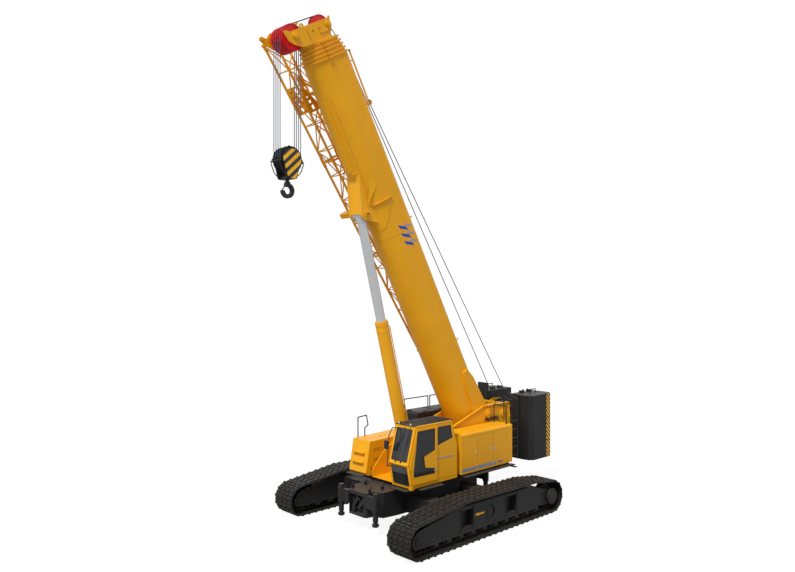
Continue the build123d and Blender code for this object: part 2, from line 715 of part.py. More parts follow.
with BuildPart() as winch_frame:
    outline = (
        (CHEEK_REAR, 2300),
        (CHEEK_REAR, 3160),
        (-4500, 3230),
        (-4900, 3200),
        (AUX_WINCH_PIN[0] - 370, AUX_WINCH_PIN[1]),
        (-4900, 2620),
        (-4400, 2300),
    )
    for left in (AUX_HALF + AUX_PLATE, -AUX_HALF):
        prism(outline, side_view(left), AUX_PLATE)
    block((-4300, -4260), (-AUX_HALF, AUX_HALF), (2320, 2520))
    wide = 2 * (AUX_HALF + AUX_PLATE)
    disc(side_view(wide / 2), AUX_WINCH_PIN, AUX_WINCH_SHAFT + PIN_FIT, wide, Mode.SUBTRACT)


def winch(pin, half_span, plate, shaft):
    """Rope drum with two flanges on a shaft."""
    half = half_span - 60
    flange = 28
    with BuildPart() as drum:
        disc(side_view(half), pin, DRUM_RADIUS, 2 * half)
        for left in (half, -half + flange):
            disc(side_view(left), pin, DRUM_FLANGE, flange)
        end = half_span + plate - 2
        disc(side_view(end), pin, shaft, 2 * end)
    return drum.part


# ------------------------------------------------------------------ counterweight
weight_top = WEIGHT_BOTTOM + sum(SLAB_HEIGHTS) - SLAB_JOINT

with BuildPart() as counterweight:
    for side in (1, -1):
        plan = (
            (WEIGHT_FRONT, side * WEIGHT_INNER),
            (WEIGHT_FRONT, side * (WEIGHT_OUTER - 420)),
            (WEIGHT_FRONT - 50, side * (WEIGHT_OUTER - 130)),
            (WEIGHT_FRONT - 200, side * WEIGHT_OUTER),
            (WEIGHT_REAR + 190, side * WEIGHT_OUTER),
            (WEIGHT_REAR, side * (WEIGHT_OUTER - 190)),
            (WEIGHT_REAR, side * WEIGHT_INNER),
        )
        z = WEIGHT_BOTTOM
        for height in SLAB_HEIGHTS:
            with BuildSketch(Plane.XY.offset(z)):
                with BuildLine():
                    Polyline(*plan, close=True)
                make_face()
            extrude(amount=height - SLAB_JOINT)
            # locating dowels on top of each slab
            for x in (WEIGHT_FRONT - 280, WEIGHT_REAR + 280):
                with Locations((x, side * 820, z + height - SLAB_JOINT)):
                    Cylinder(60, SLAB_JOINT, align=BASE_UP)
            z += height

with BuildPart() as counterweight_hangers:
    for side, rise in ((1, 30), (-1, 300)):
        y = (side * WEIGHT_INNER, side * (WEIGHT_OUTER - 490))
        block((WEIGHT_FRONT + SEAT, WEIGHT_FRONT + 70), y, (WEIGHT_BOTTOM + 60, weight_top + rise))
        block((CHEEK_REAR, WEIGHT_FRONT + 60), (side * 540, side * 640), (1500, 2250))
        # lifting ears on the stack
        for x in (WEIGHT_FRONT - 480, WEIGHT_REAR + 480):
            block((x - 90, x + 90), (side * 620, side * 740), (weight_top, weight_top + 90))
        rail(
            [
                (WEIGHT_FRONT - 560, side * 1000, weight_top),
                (WEIGHT_FRONT - 560, side * 1000, weight_top + 150),
                (WEIGHT_REAR + 520, side * 1000, weight_top + 150),
                (WEIGHT_REAR + 520, side * 1000, weight_top),
            ],
            16,
        )


# ------------------------------------------------------------------ boom
def boom_profile(shrink):
    """Cross section of a boom section: flat top, chamfered crown, upright sides, round belly."""
    half = BOOM_WIDTH / 2 - shrink
    top = -shrink
    bottom = -BOOM_HEIGHT + shrink
    crown = max(CROWN - shrink * 0.4, 20)
    with BuildSketch() as profile:
        with BuildLine():
            Polyline(
                (-half, bottom + half),
                (-half, top - crown),
                (-half + crown * 0.35, top),
                (half - crown * 0.35, top),
                (half, top - crown),
                (half, bottom + half),
            )
            ThreePointArc((half, bottom + half), (0, bottom), (-half, bottom + half))
        make_face()
    return profile.sketch


def tube(start, end, outer, inner):
    """A length of boom tube between two shrinks of the profile, joined to the piece in hand."""
    with BuildSketch(boom_square(start)) as sketch:
        add(boom_profile(outer))
        add(boom_profile(inner), mode=Mode.SUBTRACT)
    extrude(sketch.sketch, amount=end - start)


def section_end(level):
    """How far along the boom a section's open end stands."""
    return BASE_END + level * COLLAR_PITCH


def section_shell(level, start):
    """Tube, collar and wear strip of one section, joined to the piece in hand."""
    shrink = level * SECTION_STEP
    end = section_end(level)
    tube(start, end, shrink, shrink + TUBE_WALL)
    tube(end - COLLAR_LENGTH, end, shrink - COLLAR_RISE, shrink)
    tube(end - COLLAR_LENGTH, end, shrink + TUBE_WALL, shrink + SECTION_STEP - SEAT)
    # rope guide horns on the collar
    top = -shrink + COLLAR_RISE
    for side in (-1, 1):
        horn = (
            (end - COLLAR_LENGTH, top - 5),
            (end - COLLAR_LENGTH, top + 60),
            (end - 10, top + 85),
            (end, top - 5),
        )
        prism(horn, boom_side(side * 300 + 18), 36)
        cheek = (
            (end - COLLAR_LENGTH, -BOOM_HEIGHT + 420),
            (end - COLLAR_LENGTH, -BOOM_HEIGHT + 560),
            (end, -BOOM_HEIGHT + 560),
            (end, -BOOM_HEIGHT + 420),
        )
        outer = BOOM_WIDTH / 2 - shrink + COLLAR_RISE
        prism(cheek, boom_side(side * outer + (38 if side > 0 else 8)), 46)


def boom_section(level):
    """One of the plain moving sections."""
    with BuildPart() as section:
        section_shell(level, SECTION_TAIL + level * TAIL_STEP)
    return section.part


EYE_ALONG = CYLINDER_EYE[0]
lug_inner = EYE_HALF + RUN
DOUBLER_START = EYE_ALONG - 700
DOUBLER_END = EYE_ALONG + 1240
DOUBLER_PLATE = 10.0

# skin outside the belly round the cylinder lugs, cut to its outline in side view
with BuildPart() as doubler:
    with BuildSketch(boom_square(DOUBLER_START)):
        add(boom_profile(-DOUBLER_PLATE))
        add(boom_profile(0), mode=Mode.SUBTRACT)
    extrude(amount=DOUBLER_END - DOUBLER_START)
    outline = (
        (DOUBLER_START, -BOOM_HEIGHT - 60),
        (DOUBLER_START, -BOOM_HEIGHT + 160),
        (EYE_ALONG + 100, -470),
        (EYE_ALONG + 300, -520),
        (DOUBLER_END, -800),
        (DOUBLER_END, -BOOM_HEIGHT - 60),
    )
    prism(outline, boom_side(BOOM_WIDTH), 2 * BOOM_WIDTH, Mode.INTERSECT)

with BuildPart() as boom_base:
    section_shell(0, BASE_START)
    # closed rear end and the two foot plates
    with BuildSketch(boom_square(BASE_START)):
        add(boom_profile(0))
    extrude(amount=30)
    foot = (
        (-40, 70),
        (150, 135),
        (1500, 10),
        (1900, -120),
        (1900, -330),
        (1500, -430),
        (BASE_START, -620),
        (-40, -170),
    )
    for left in (CHEEK_INNER - RUN, -BOOM_WIDTH / 2):
        prism(foot, boom_side(left), CHEEK_INNER - RUN - BOOM_WIDTH / 2)
        disc(boom_side(left), (0, 0), 190, CHEEK_INNER - RUN - BOOM_WIDTH / 2)
    disc(boom_side(CHEEK_INNER), (0, 0), FOOT_PIN_RADIUS + PIN_FIT, 2 * CHEEK_INNER, Mode.SUBTRACT)
    add(doubler.part)
    # ring rib over the lugs
    with BuildSketch(boom_square(EYE_ALONG + 120)):
        add(boom_profile(-55))
        add(boom_profile(0), mode=Mode.SUBTRACT)
        with Locations((0, -470 / 2 + 100)):
            Rectangle(BOOM_WIDTH * 1.2, 470 + 200, mode=Mode.SUBTRACT)
    extrude(amount=30)
    # lugs for the rod eye, running out in two long gussets
    for left in (lug_inner + EYE_LUG, -lug_inner):
        with BuildSketch(boom_side(left)):
            with Locations(CYLINDER_EYE):
                Circle(190)
            with Locations((EYE_ALONG - 420, -BOOM_HEIGHT + 90), (EYE_ALONG + 1150, -BOOM_HEIGHT + 90)):
                Circle(25)
            make_hull()
        extrude(amount=EYE_LUG)
    for left in (lug_inner + EYE_LUG + 24, -lug_inner - EYE_LUG):
        disc(boom_side(left), CYLINDER_EYE, 120, 24)
    wide = 2 * (lug_inner + EYE_LUG + 24)
    disc(boom_side(wide / 2), CYLINDER_EYE, CYLINDER_PIN + PIN_FIT, wide, Mode.SUBTRACT)
    # guide rail low on the left flank
    bar(on_boom(8960, -BOOM_HEIGHT + 130, 330), on_boom(11860, -BOOM_HEIGHT + 130, 330), 30)
    # clear the inside again
    inside = BASE_START + 30
    with BuildSketch(boom_square(inside)):
        add(boom_profile(TUBE_WALL))
    extrude(amount=BASE_END - COLLAR_LENGTH - inside, mode=Mode.SUBTRACT)
    # rope pipe with its stays and ring, and two rope guides further down
    bar(on_boom(11320, PIPE_OVER, PIPE_SIDE), on_boom(12900, PIPE_OVER, PIPE_SIDE), PIPE_RADIUS)
    for along in (11480, 12600):
        bar(on_boom(along, -5, PIPE_SIDE), on_boom(along, PIPE_OVER, PIPE_SIDE), 18)
    with BuildSketch(boom_side(PIPE_SIDE + 30)):
        with Locations((11270, PIPE_OVER + 10)):
            Circle(90)
            Circle(52, mode=Mode.SUBTRACT)
    extrude(amount=60)
    for along in (7450, 2880):
        for side in (PIPE_SIDE - 70, PIPE_SIDE + 70):
            bar(on_boom(along, -5, side), on_boom(along + 60, 170, side), 12)
        bar(on_boom(along + 60, 170, PIPE_SIDE - 90), on_boom(along + 60, 170, PIPE_SIDE + 90), 16)

head_root = section_end(SECTION_COUNT - 2) + RUN

with BuildPart() as boom_head:
    level = SECTION_COUNT - 1
    shrink = level * SECTION_STEP
    cap_end = HEAD_AXLE - TOP_SHEAVE_RADIUS - RUN
    tube(SECTION_TAIL + level * TAIL_STEP, cap_end, shrink, shrink + TUBE_WALL)
    with BuildSketch(boom_square(cap_end - 24)):
        add(boom_profile(shrink))
    extrude(amount=24)
    front, top = FRONT_SHEAVE_N, TOP_SHEAVE_N
    cheek = (
        (head_root, top - 70),
        (head_root, front + 150),
        (HEAD_AXLE - 200, front - 150),
        (HEAD_AXLE - 60, front - 280),
        (HEAD_AXLE + 160, front - 330),
        (HEAD_AXLE + 260, front - 320),
        (HEAD_AXLE + 160, front - 130),
        (HEAD_AXLE + 160, top),
        (HEAD_AXLE + 60, top + 140),
        (HEAD_AXLE - 60, top + 130),
    )
    for side, left in ((1, HEAD_HALF + HEAD_PLATE), (-1, -HEAD_HALF)):
        with BuildSketch(boom_side(left)) as plate:
            with BuildLine():
                Polyline(*cheek, close=True)
            make_face()
            fillet(plate.vertices().group_by(Axis.X)[-1], 40)
        extrude(amount=HEAD_PLATE)
        # bosses and a small lifting eye outside each plate
        outer = side * (HEAD_HALF + HEAD_PLATE)
        for over, radius in ((front, 105), (top, 95)):
            disc(boom_side(outer + 30 if side > 0 else outer), (HEAD_AXLE, over), radius, 30)
        with BuildSketch(boom_side(left)):
            with Locations((HEAD_AXLE + 190, front + 330)):
                Circle(75)
                Circle(30, mode=Mode.SUBTRACT)
        extrude(amount=HEAD_PLATE)
    for over in (front, top):
        span = HEAD_HALF + HEAD_PLATE + 40
        disc(boom_side(span), (HEAD_AXLE, over), AXLE_RADIUS, 2 * span)
    # spreader tube and the rope keeper between the plates
    disc(boom_side(HEAD_HALF), (HEAD_AXLE - 60, (front + top) / 2 + 60), 60, 2 * HEAD_HALF)
    disc(boom_side(HEAD_HALF), (HEAD_AXLE - 290, front + 360), 45, 2 * HEAD_HALF)
    # hook at the top rear
    horn = (
        (HEAD_AXLE + 30, top + 100),
        (HEAD_AXLE + 150, top + 60),
        (HEAD_AXLE + 210, top + 150),
        (HEAD_AXLE + 150, top + 170),
    )
    prism(horn, boom_side(HEAD_HALF + HEAD_PLATE), HEAD_PLATE)


def sheaves(centre, radius, count):
    """Grooved sheaves side by side on a common hub along Y."""
    half_width = SHEAVE_WIDTH / 2
    bore = AXLE_RADIUS + PIN_FIT
    web = 14
    with BuildPart() as pack:
        with BuildSketch(Plane.XY):
            for i in range(count):
                y = (i - (count - 1) / 2) * SHEAVE_PITCH
                flank = (
                    (bore, y - half_width),
                    (bore + 60, y - half_width),
                    (bore + 60, y - web),
                    (radius - 60, y - web),
                    (radius, y - half_width),
                    (radius, y - half_width + 10),
                    (radius - GROOVE, y - 8),
                )
                other = ((r, 2 * y - side) for r, side in reversed(flank))
                with BuildLine():
                    Polyline(*flank, *other, close=True)
                make_face()
            with Locations((bore + 20, 0)):
                Rectangle(40, (count - 1) * SHEAVE_PITCH + SHEAVE_WIDTH)
        revolve(axis=Axis.Y)
    return Pos(centre.X, 0, centre.Z) * pack.part


HEAD_POINT = on_boom(HEAD_AXLE, FRONT_SHEAVE_N)
TOP_POINT = on_boom(HEAD_AXLE, TOP_SHEAVE_N)
BLOCK_POINT = Vector(HEAD_POINT.X, 0, BLOCK_Z)
EYE_POINT = on_boom(*CYLINDER_EYE)
FOOT_POINT = Vector(CYLINDER_FOOT[0], 0, CYLINDER_FOOT[1])
CYLINDER_AXIS = (EYE_POINT - FOOT_POINT).normalized()


def cross_pin(centre, radius, half_length):
    """A plain pin along Y with a chamfer at each end."""
    with BuildPart() as pin:
        disc(side_view(half_length), (centre.X, centre.Z), radius, 2 * half_length)
        chamfer(pin.edges().filter_by(GeomType.CIRCLE), 6)
    return pin.part


# ------------------------------------------------------------------ folded jib
JIB_LINES = [(on_boom(JIB_TIP, a, b), on_boom(JIB_FORK, c, d)) for a, b, c, d in JIB_CORNERS]


def jib_point(line, share):
    """The point at a share of a jib chord's length."""
    start, end = JIB_LINES[line]
    return start + (end - start) * share


with BuildPart() as jib:
    for start, end in JIB_LINES:
        bar(start, end, CHORD)
    for i in range(JIB_BAYS + 1):
        share = i / JIB_BAYS
        for face in range(4):
            bar(jib_point(face, share), jib_point((face + 1) % 4, share), LACING)
    for i in range(JIB_BAYS):
        for face in range(4):
            near, far = (i, i + 1) if (i + face) % 2 else (i + 1, i)
            bar(jib_point(face, near / JIB_BAYS), jib_point((face + 1) % 4, far / JIB_BAYS), LACING)

with BuildPart() as jib_brackets:
    for along, line in JIB_SEATS:
        over_tip, y_tip, over_fork, y_fork = JIB_CORNERS[line]
        share = (along - JIB_TIP) / (JIB_FORK - JIB_TIP)
        over = over_tip + (over_fork - over_tip) * share
        reach = y_tip + (y_fork - y_tip) * share + CHORD + 0.8
        bar(on_boom(along, over, -BOOM_WIDTH / 2), on_boom(along, over, reach), 45)
        pad = ((along - 130, over - 90), (along - 130, over + 90), (along + 130, over + 90), (along + 130, over - 90))
        prism(pad, boom_side(-BOOM_WIDTH / 2), 20)

# ------------------------------------------------------------------ luffing cylinder
with BuildPart() as luff_rod:
    start = FOOT_POINT + CYLINDER_AXIS * (BARREL_LENGTH - 400)
    bar(start, EYE_POINT - CYLINDER_AXIS * (EYE_RADIUS - 40), ROD_RADIUS)
    bar(EYE_POINT - CYLINDER_AXIS * (EYE_RADIUS + 60), EYE_POINT - CYLINDER_AXIS * 60, ROD_RADIUS + 12)
    eye = (EYE_POINT.X, EYE_POINT.Z)
    disc(side_view(EYE_HALF), eye, EYE_RADIUS, 2 * EYE_HALF)
    disc(side_view(EYE_HALF), eye, CYLINDER_PIN + PIN_FIT, 2 * EYE_HALF, Mode.SUBTRACT)

with BuildPart() as luff_barrel:
    foot_plane = Plane(FOOT_POINT, x_dir=(0, 1, 0), z_dir=CYLINDER_AXIS)
    with BuildSketch(foot_plane.offset(300)):
        Circle(BARREL_RADIUS)
    extrude(amount=BARREL_LENGTH - 300)
    for reach, length in ((BARREL_LENGTH - 130, 90), (BARREL_LENGTH - 330, 40), (420, 60)):
        disc(foot_plane.offset(reach), (0, 0), BARREL_RADIUS + GLAND_RISE, length)
    disc(foot_plane.offset(600), (0, 0), ROD_RADIUS + SEAT, BARREL_LENGTH, Mode.SUBTRACT)
    disc(side_view(FOOT_EYE_HALF), CYLINDER_FOOT, EYE_RADIUS, 2 * FOOT_EYE_HALF)
    with BuildSketch(foot_plane):
        Rectangle(2 * FOOT_EYE_HALF - 60, 2 * EYE_RADIUS - 40)
    extrude(amount=320)

# ------------------------------------------------------------------ hook block
FALL_OFFSET = SHEAVE_RADIUS - GROOVE + FALL_RADIUS + SEAT
block_half = (FALL_SHEAVES - 1) * SHEAVE_PITCH / 2 + SHEAVE_WIDTH / 2 + RUN

with BuildPart() as hoist_falls:
    for i in range(FALL_SHEAVES):
        y = (i - (FALL_SHEAVES - 1) / 2) * SHEAVE_PITCH
        for side in (1, -1):
            x = HEAD_POINT.X + side * FALL_OFFSET
            bar((x, y, BLOCK_Z), (x, y, HEAD_POINT.Z), FALL_RADIUS)

with BuildPart() as hook_block:
    x = BLOCK_POINT.X
    for left in (block_half + BLOCK_PLATE, -block_half):
        with BuildSketch(side_view(left)):
            with Locations((x, BLOCK_Z)):
                Circle(300)
            with Locations((x - 110, SWIVEL_Z + 30), (x + 110, SWIVEL_Z + 30)):
                Circle(70)
            make_hull()
        extrude(amount=BLOCK_PLATE)
    disc(side_view(block_half + BLOCK_PLATE + 25), (x, BLOCK_Z), AXLE_RADIUS, 2 * (block_half + BLOCK_PLATE + 25))
    block((x - 110, x + 110), (-block_half, block_half), (SWIVEL_Z - 40, SWIVEL_Z + 50))
    # guards over the sheaves
    for side in (1, -1):
        guard = x + side * (SHEAVE_RADIUS + 40)
        bar((guard, -block_half - 20, BLOCK_Z - 60), (guard, block_half + 20, BLOCK_Z - 60), 16)
        for y in (-block_half - 20, block_half + 20):
            bar((x + side * 240, y, BLOCK_Z - 60), (guard, y, BLOCK_Z - 60), 16)
    with Locations((x, 0, SWIVEL_Z - 60)):
        Cylinder(SHANK_RADIUS + SEAT, 140, align=BASE_UP, mode=Mode.SUBTRACT)

with BuildPart() as hook:
    bowl = SWIVEL_Z - 350
    with BuildSketch(side_view(55)):
        with Locations((x, bowl)):
            Circle(HOOK_BOWL)
            Circle(HOOK_THROAT, mode=Mode.SUBTRACT)
        with BuildLine():
            Polyline((x + 20, bowl), (x + 300, bowl - 10), (x + 300, bowl + 260), (x + 60, bowl + 260), close=True)
        make_face(mode=Mode.SUBTRACT)
        with Locations((x, bowl + 190)):
            Trapezoid(190, 120, 72)
    extrude(amount=110)
    fillet(hook.edges().filter_by(GeomType.CIRCLE), 18)
    with Locations((x, 0, bowl + 200)):
        Cylinder(SHANK_RADIUS, 240, align=BASE_UP)
    with Locations((x, 0, SWIVEL_Z + 50 + SEAT)):
        Cylinder(85, 40, align=BASE_UP)

# ------------------------------------------------------------------ cab
CAB_SIDE = (CAB_HEEL, CAB_TOE, CAB_NOSE, CAB_BROW, CAB_NAPE, CAB_HIP)
CAB_WIDE = CAB_OUTER - CAB_INNER


def cab_panel(low, high, left=1):
    """The plane of a sloping front or rear panel, facing out, with its length."""
    run, rise = high[0] - low[0], high[1] - low[1]
    middle = ((low[0] + high[0]) / 2, (CAB_INNER + CAB_OUTER) / 2, (low[1] + high[1]) / 2)
    return Plane(middle, x_dir=(0, left, 0), z_dir=(left * rise, 0, -left * run)), hypot(run, rise)


CAB_PANELS = (
    (CAB_NOSE, CAB_BROW, 1),
    (CAB_TOE, CAB_NOSE, 1),
    (CAB_HIP, CAB_NAPE, -1),
)


def door_face(lap):
    """Outline of the cab door: the cab's own outline cut off behind and below."""
    with BuildSketch() as face:
        add(inset(CAB_SIDE, 90 - lap))
        with Locations((DOOR_REAR + DOOR_LAP - lap, DOOR_BOTTOM + DOOR_LAP - lap)):
            Rectangle(3000, 3000, align=(Align.MIN, Align.MIN), mode=Mode.INTERSECT)
    return face.sketch


with BuildPart() as cab_shell:
    with BuildSketch(side_view(CAB_OUTER)):
        with BuildLine():
            Polyline(*CAB_SIDE, close=True)
        make_face()
    extrude(amount=CAB_WIDE)
    with BuildSketch(side_view(CAB_OUTER - CAB_WALL)):
        add(inset(CAB_SIDE, CAB_WALL))
    extrude(amount=CAB_WIDE - 2 * CAB_WALL, mode=Mode.SUBTRACT)
    with BuildSketch(side_view(CAB_OUTER)):
        add(door_face(0))
    extrude(amount=CAB_WALL, mode=Mode.SUBTRACT)
    prism(QUARTER_WINDOW, side_view(CAB_OUTER), CAB_WALL, Mode.SUBTRACT)
    prism(RIGHT_WINDOW, side_view(CAB_INNER + CAB_WALL), CAB_WALL, Mode.SUBTRACT)
    for low, high, left in CAB_PANELS:
        plane, length = cab_panel(low, high, left)
        with BuildSketch(plane.offset(5)):
            RectangleRounded(CAB_WIDE - 2 * PILLAR, length - 2 * PILLAR, 40)
        extrude(amount=-CAB_WALL - 30, mode=Mode.SUBTRACT)
    # runners of the sliding door
    runner = (CAB_OUTER, CAB_OUTER + RUN - SEAT)
    block((-60, 1440), runner, (CAB_BROW[1] - 88, CAB_BROW[1] - 72))
    block((-130, DOOR_REAR - 20), runner, (2080, 2120))
    block((-300, 1580), runner, (DOOR_BOTTOM + 2, DOOR_BOTTOM + 18))

with BuildPart() as cab_glass:
    for outline, left in ((QUARTER_WINDOW, CAB_OUTER - 10), (RIGHT_WINDOW, CAB_INNER + 10 + PANE)):
        with BuildSketch(side_view(left)):
            add(inset(outline, SEAT))
        extrude(amount=PANE)
    for low, high, left in CAB_PANELS:
        plane, length = cab_panel(low, high, left)
        with BuildSketch(plane.offset(-10)):
            RectangleRounded(CAB_WIDE - 2 * PILLAR - 2 * SEAT, length - 2 * PILLAR - 2 * SEAT, 40 - SEAT)
        extrude(amount=-PANE)

with BuildPart() as cab_door:
    with BuildSketch(side_view(CAB_OUTER + RUN + DOOR_THICK)):
        add(door_face(DOOR_LAP))
    extrude(amount=DOOR_THICK)
    prism(DOOR_WINDOW, side_view(CAB_OUTER + RUN + DOOR_THICK), DOOR_THICK, Mode.SUBTRACT)

with BuildPart() as door_glass:
    with BuildSketch(side_view(CAB_OUTER + RUN + DOOR_THICK - 10)):
        add(inset(DOOR_WINDOW, SEAT))
    extrude(amount=PANE)

with BuildPart() as cab_guard:
    roof = CAB_BROW[1]
    for x in (100, 1400):
        for y in (CAB_INNER + 60, CAB_OUTER - 60):
            block((x - 20, x + 20), (y - 20, y + 20), (roof, roof + 22))
    with BuildSketch(Plane.XY.offset(roof + 22)):
        with Locations((700, (CAB_INNER + CAB_OUTER) / 2)):
            Rectangle(1750, CAB_WIDE - 20)
            with GridLocations(170, 92, 9, 8):
                Rectangle(140, 66, mode=Mode.SUBTRACT)
    extrude(amount=20)

with BuildPart() as seat:
    y = (CAB_INNER + CAB_OUTER) / 2
    floor = CAB_HEEL[1] + CAB_WALL
    block((250, 620), (y - 180, y + 180), (floor, 1780))
    block((180, 720), (y - 250, y + 250), (1780, 1920))
    fillet(seat.edges().filter_by(Axis.Y).group_by(Axis.Z)[-1], 40)
    back = ((60, 1780), (210, 1780), (120, 2650), (10, 2650))
    prism(back, side_view(y + 240), 480)
    for side in (1, -1):
        block((250, 850), (y + side * 265, y + side * 350), (floor, 2020))

# ------------------------------------------------------------------ hoods
def hinge_halves(index, member):
    """Knuckles of a hood door's hinges: member 1 is the door's, -1 the hood's."""
    front, rear = HOOD_DOOR_X[index]
    side = HINGE_SIDES[index]
    x = front - HOOD_POST / 2 if side > 0 else rear + HOOD_POST / 2
    for z in (HOOD_DOOR_Z[0] + 160, HOOD_DOOR_Z[1] - 160):
        low, high = (z, z + 45) if member > 0 else (z - 45, z - SEAT)
        with Locations((x, HOOD_OUTER + HINGE_RADIUS + SEAT, low)):
            Cylinder(HINGE_RADIUS, high - low, align=BASE_UP)
        block((x, x - member * side * 34), (HOOD_OUTER, HOOD_OUTER + 5), (low, high))


hood_floor = DECK_BOTTOM + BEARER

with BuildPart() as left_hood:
    block((HOOD_REAR, HOOD_FRONT), (HOOD_INNER, HOOD_OUTER), (hood_floor, HOOD_TOP))
    fillet(left_hood.edges().filter_by(Axis.X).group_by(Axis.Z)[-1].sort_by(Axis.Y)[-1], HOOD_CORNER)
    block(
        (HOOD_REAR + HOOD_WALL, HOOD_FRONT - HOOD_WALL),
        (HOOD_INNER + HOOD_WALL, HOOD_OUTER - HOOD_WALL),
        (hood_floor + HOOD_WALL, HOOD_TOP - HOOD_WALL),
        Mode.SUBTRACT,
    )
    for index, (front, rear) in enumerate(HOOD_DOOR_X):
        x = (rear + HOOD_POST / 2, front - HOOD_POST / 2)
        block(x, (HOOD_OUTER - HOOD_WALL, HOOD_OUTER), HOOD_DOOR_Z, Mode.SUBTRACT)
        hinge_halves(index, -1)
    # air slots in the rear wall
    with BuildSketch(Plane((HOOD_REAR, (HOOD_INNER + HOOD_OUTER) / 2, 2050), x_dir=(0, -1, 0), z_dir=(-1, 0, 0))):
        with GridLocations(0, 90, 1, 9):
            SlotOverall(520, 40)
    extrude(amount=-HOOD_WALL, mode=Mode.SUBTRACT)


def hood_door(index):
    """One flush hood door."""
    front, rear = HOOD_DOOR_X[index]
    with BuildPart() as door:
        block(
            (rear + HOOD_POST / 2 + RUN / 2, front - HOOD_POST / 2 - RUN / 2),
            (HOOD_OUTER - HOOD_WALL, HOOD_OUTER),
            (HOOD_DOOR_Z[0] + RUN, HOOD_DOOR_Z[1] - RUN),
        )
        hinge_halves(index, 1)
    return door.part


with BuildPart() as engine:
    floor = hood_floor + HOOD_WALL
    block((-2700, -1100), (800, 1300), (floor, 2150))
    block((-2500, -1500), (850, 1250), (2150, 2450))

with BuildPart() as right_hood:
    profile = (
        (RIGHT_HOOD_REAR, DECK_BOTTOM + SIDE_DECK),
        (1560, DECK_BOTTOM + SIDE_DECK),
        (1640, DECK_BOTTOM + SIDE_DECK + 90),
        (1460, 2420),
        (RIGHT_HOOD_REAR, 2480),
    )
    width = RIGHT_HOOD_OUTER - HOOD_INNER
    prism(profile, side_view(-HOOD_INNER), width)
    cavity = ((-600, 1400), (1500, 1400), (1350, 2360), (-600, 2420))
    prism(cavity, side_view(-HOOD_INNER - HOOD_WALL), width - 2 * HOOD_WALL, Mode.SUBTRACT)
    # two step shelves on the sloping front
    for z in (1760, 2060):
        front = 1640 - (z - 1430) * 180 / 990
        shelf = ((front - 20, z), (front + 115, z), (front + 115, z - 22), (front + 4, z - 95), (front - 20, z - 95))
        prism(shelf, side_view(-HOOD_INNER - 160), width - 320)
    # louvres in the inner side
    with BuildSketch(side_view(-HOOD_INNER)):
        for x, z in ((560, 2180), (560, 1860)):
            with Locations((x, z)):
                with GridLocations(0, 70, 1, 3):
                    SlotOverall(300, 26)
    extrude(amount=HOOD_WALL, mode=Mode.SUBTRACT)

with BuildPart() as tank:
    block(TANK_X, (-HOOD_OUTER, -HOOD_INNER), (hood_floor, TANK_TOP))
    chamfer(tank.edges().filter_by(Axis.Y).group_by(Axis.Z)[-1], 60)
    # recessed panels in the inner side
    for x in (-1150, -2000, -2850):
        block((x - 340, x + 340), (-HOOD_INNER - 25, -HOOD_INNER), (2350, 2950), Mode.SUBTRACT)

# ------------------------------------------------------------------ steps and rails
with BuildPart() as walkways:
    # plates beside the cab, before the cab and beside the left hood
    for x, y in (
        ((450, 1450), (1400, 1640)),
        ((1500, 1900), (700, 1400)),
        ((-3160, -600), (1400, 1600)),
        ((-2900, -700), (-1580, -1400)),
    ):
        block(x, y, (DECK_BOTTOM, DECK_BOTTOM + STEP_PLATE))
    # step slung under the rear of the left hood
    for x in (-3130, -3040):
        block((x - 12, x + 12), (1400, 1425), (1262, DECK_BOTTOM))
    block((-3160, -3010), (1400, 1700), (1250, 1262))

with BuildPart() as handrails:
    # ladder at the rear corner of the left hood, its stiles carried up as a rail
    ladder_x = (HOOD_REAR - 40, HOOD_REAR - 390)
    ladder_y = HOOD_OUTER - 60
    for x in ladder_x:
        rail([(x, ladder_y, 1420), (x, ladder_y, 3480), (x, ladder_y - 330, 3560), (x, ladder_y - 330, 2950)])
    for i in range(5):
        z = 1560 + i * 300
        bar((ladder_x[0], ladder_y, z), (ladder_x[1], ladder_y, z), RAIL * 0.8)
    for z in (1500, 2620):
        bar((HOOD_REAR, ladder_y, z), (ladder_x[0], ladder_y, z), RAIL * 0.8)
    # grab rail at the front of the left hood's roof
    rail([(-3000, 1330, HOOD_TOP), (-3000, 1330, HOOD_TOP + 620), (-3000, 800, HOOD_TOP + 620), (-3000, 800, HOOD_TOP)])
    # rails along the dark box
    for start, end in ((TANK_X[0] + 60, -2080), (-1980, TANK_X[1] - 100)):
        rail(
            [
                (start, -HOOD_OUTER + 30, TANK_TOP),
                (start, -HOOD_OUTER + 30, TANK_TOP + 380),
                (end, -HOOD_OUTER + 30, TANK_TOP + 380),
                (end, -HOOD_OUTER + 30, TANK_TOP),
            ]
        )
    # hoop on the right hood
    rail(
        [
            (1300, -1460, 2400),
            (1300, -1460, 3080),
            (930, -1460, 3110),
            (860, -1460, 2780),
            (1000, -1460, 2700),
            (1000, -1460, 2410),
        ]
    )
    # bow before the windscreen
    rail(
        [
            (1780, CAB_INNER + 40, 1960),
            (1960, CAB_INNER + 40, 1980),
            (1880, CAB_INNER + 40, 2900),
            (1740, CAB_INNER + 40, 3100),
            (1540, CAB_INNER + 40, 3090),
        ],
        14,
    )
    for solid in (cab_shell, left_hood, right_hood, tank):
        add(solid.part, mode=Mode.SUBTRACT)

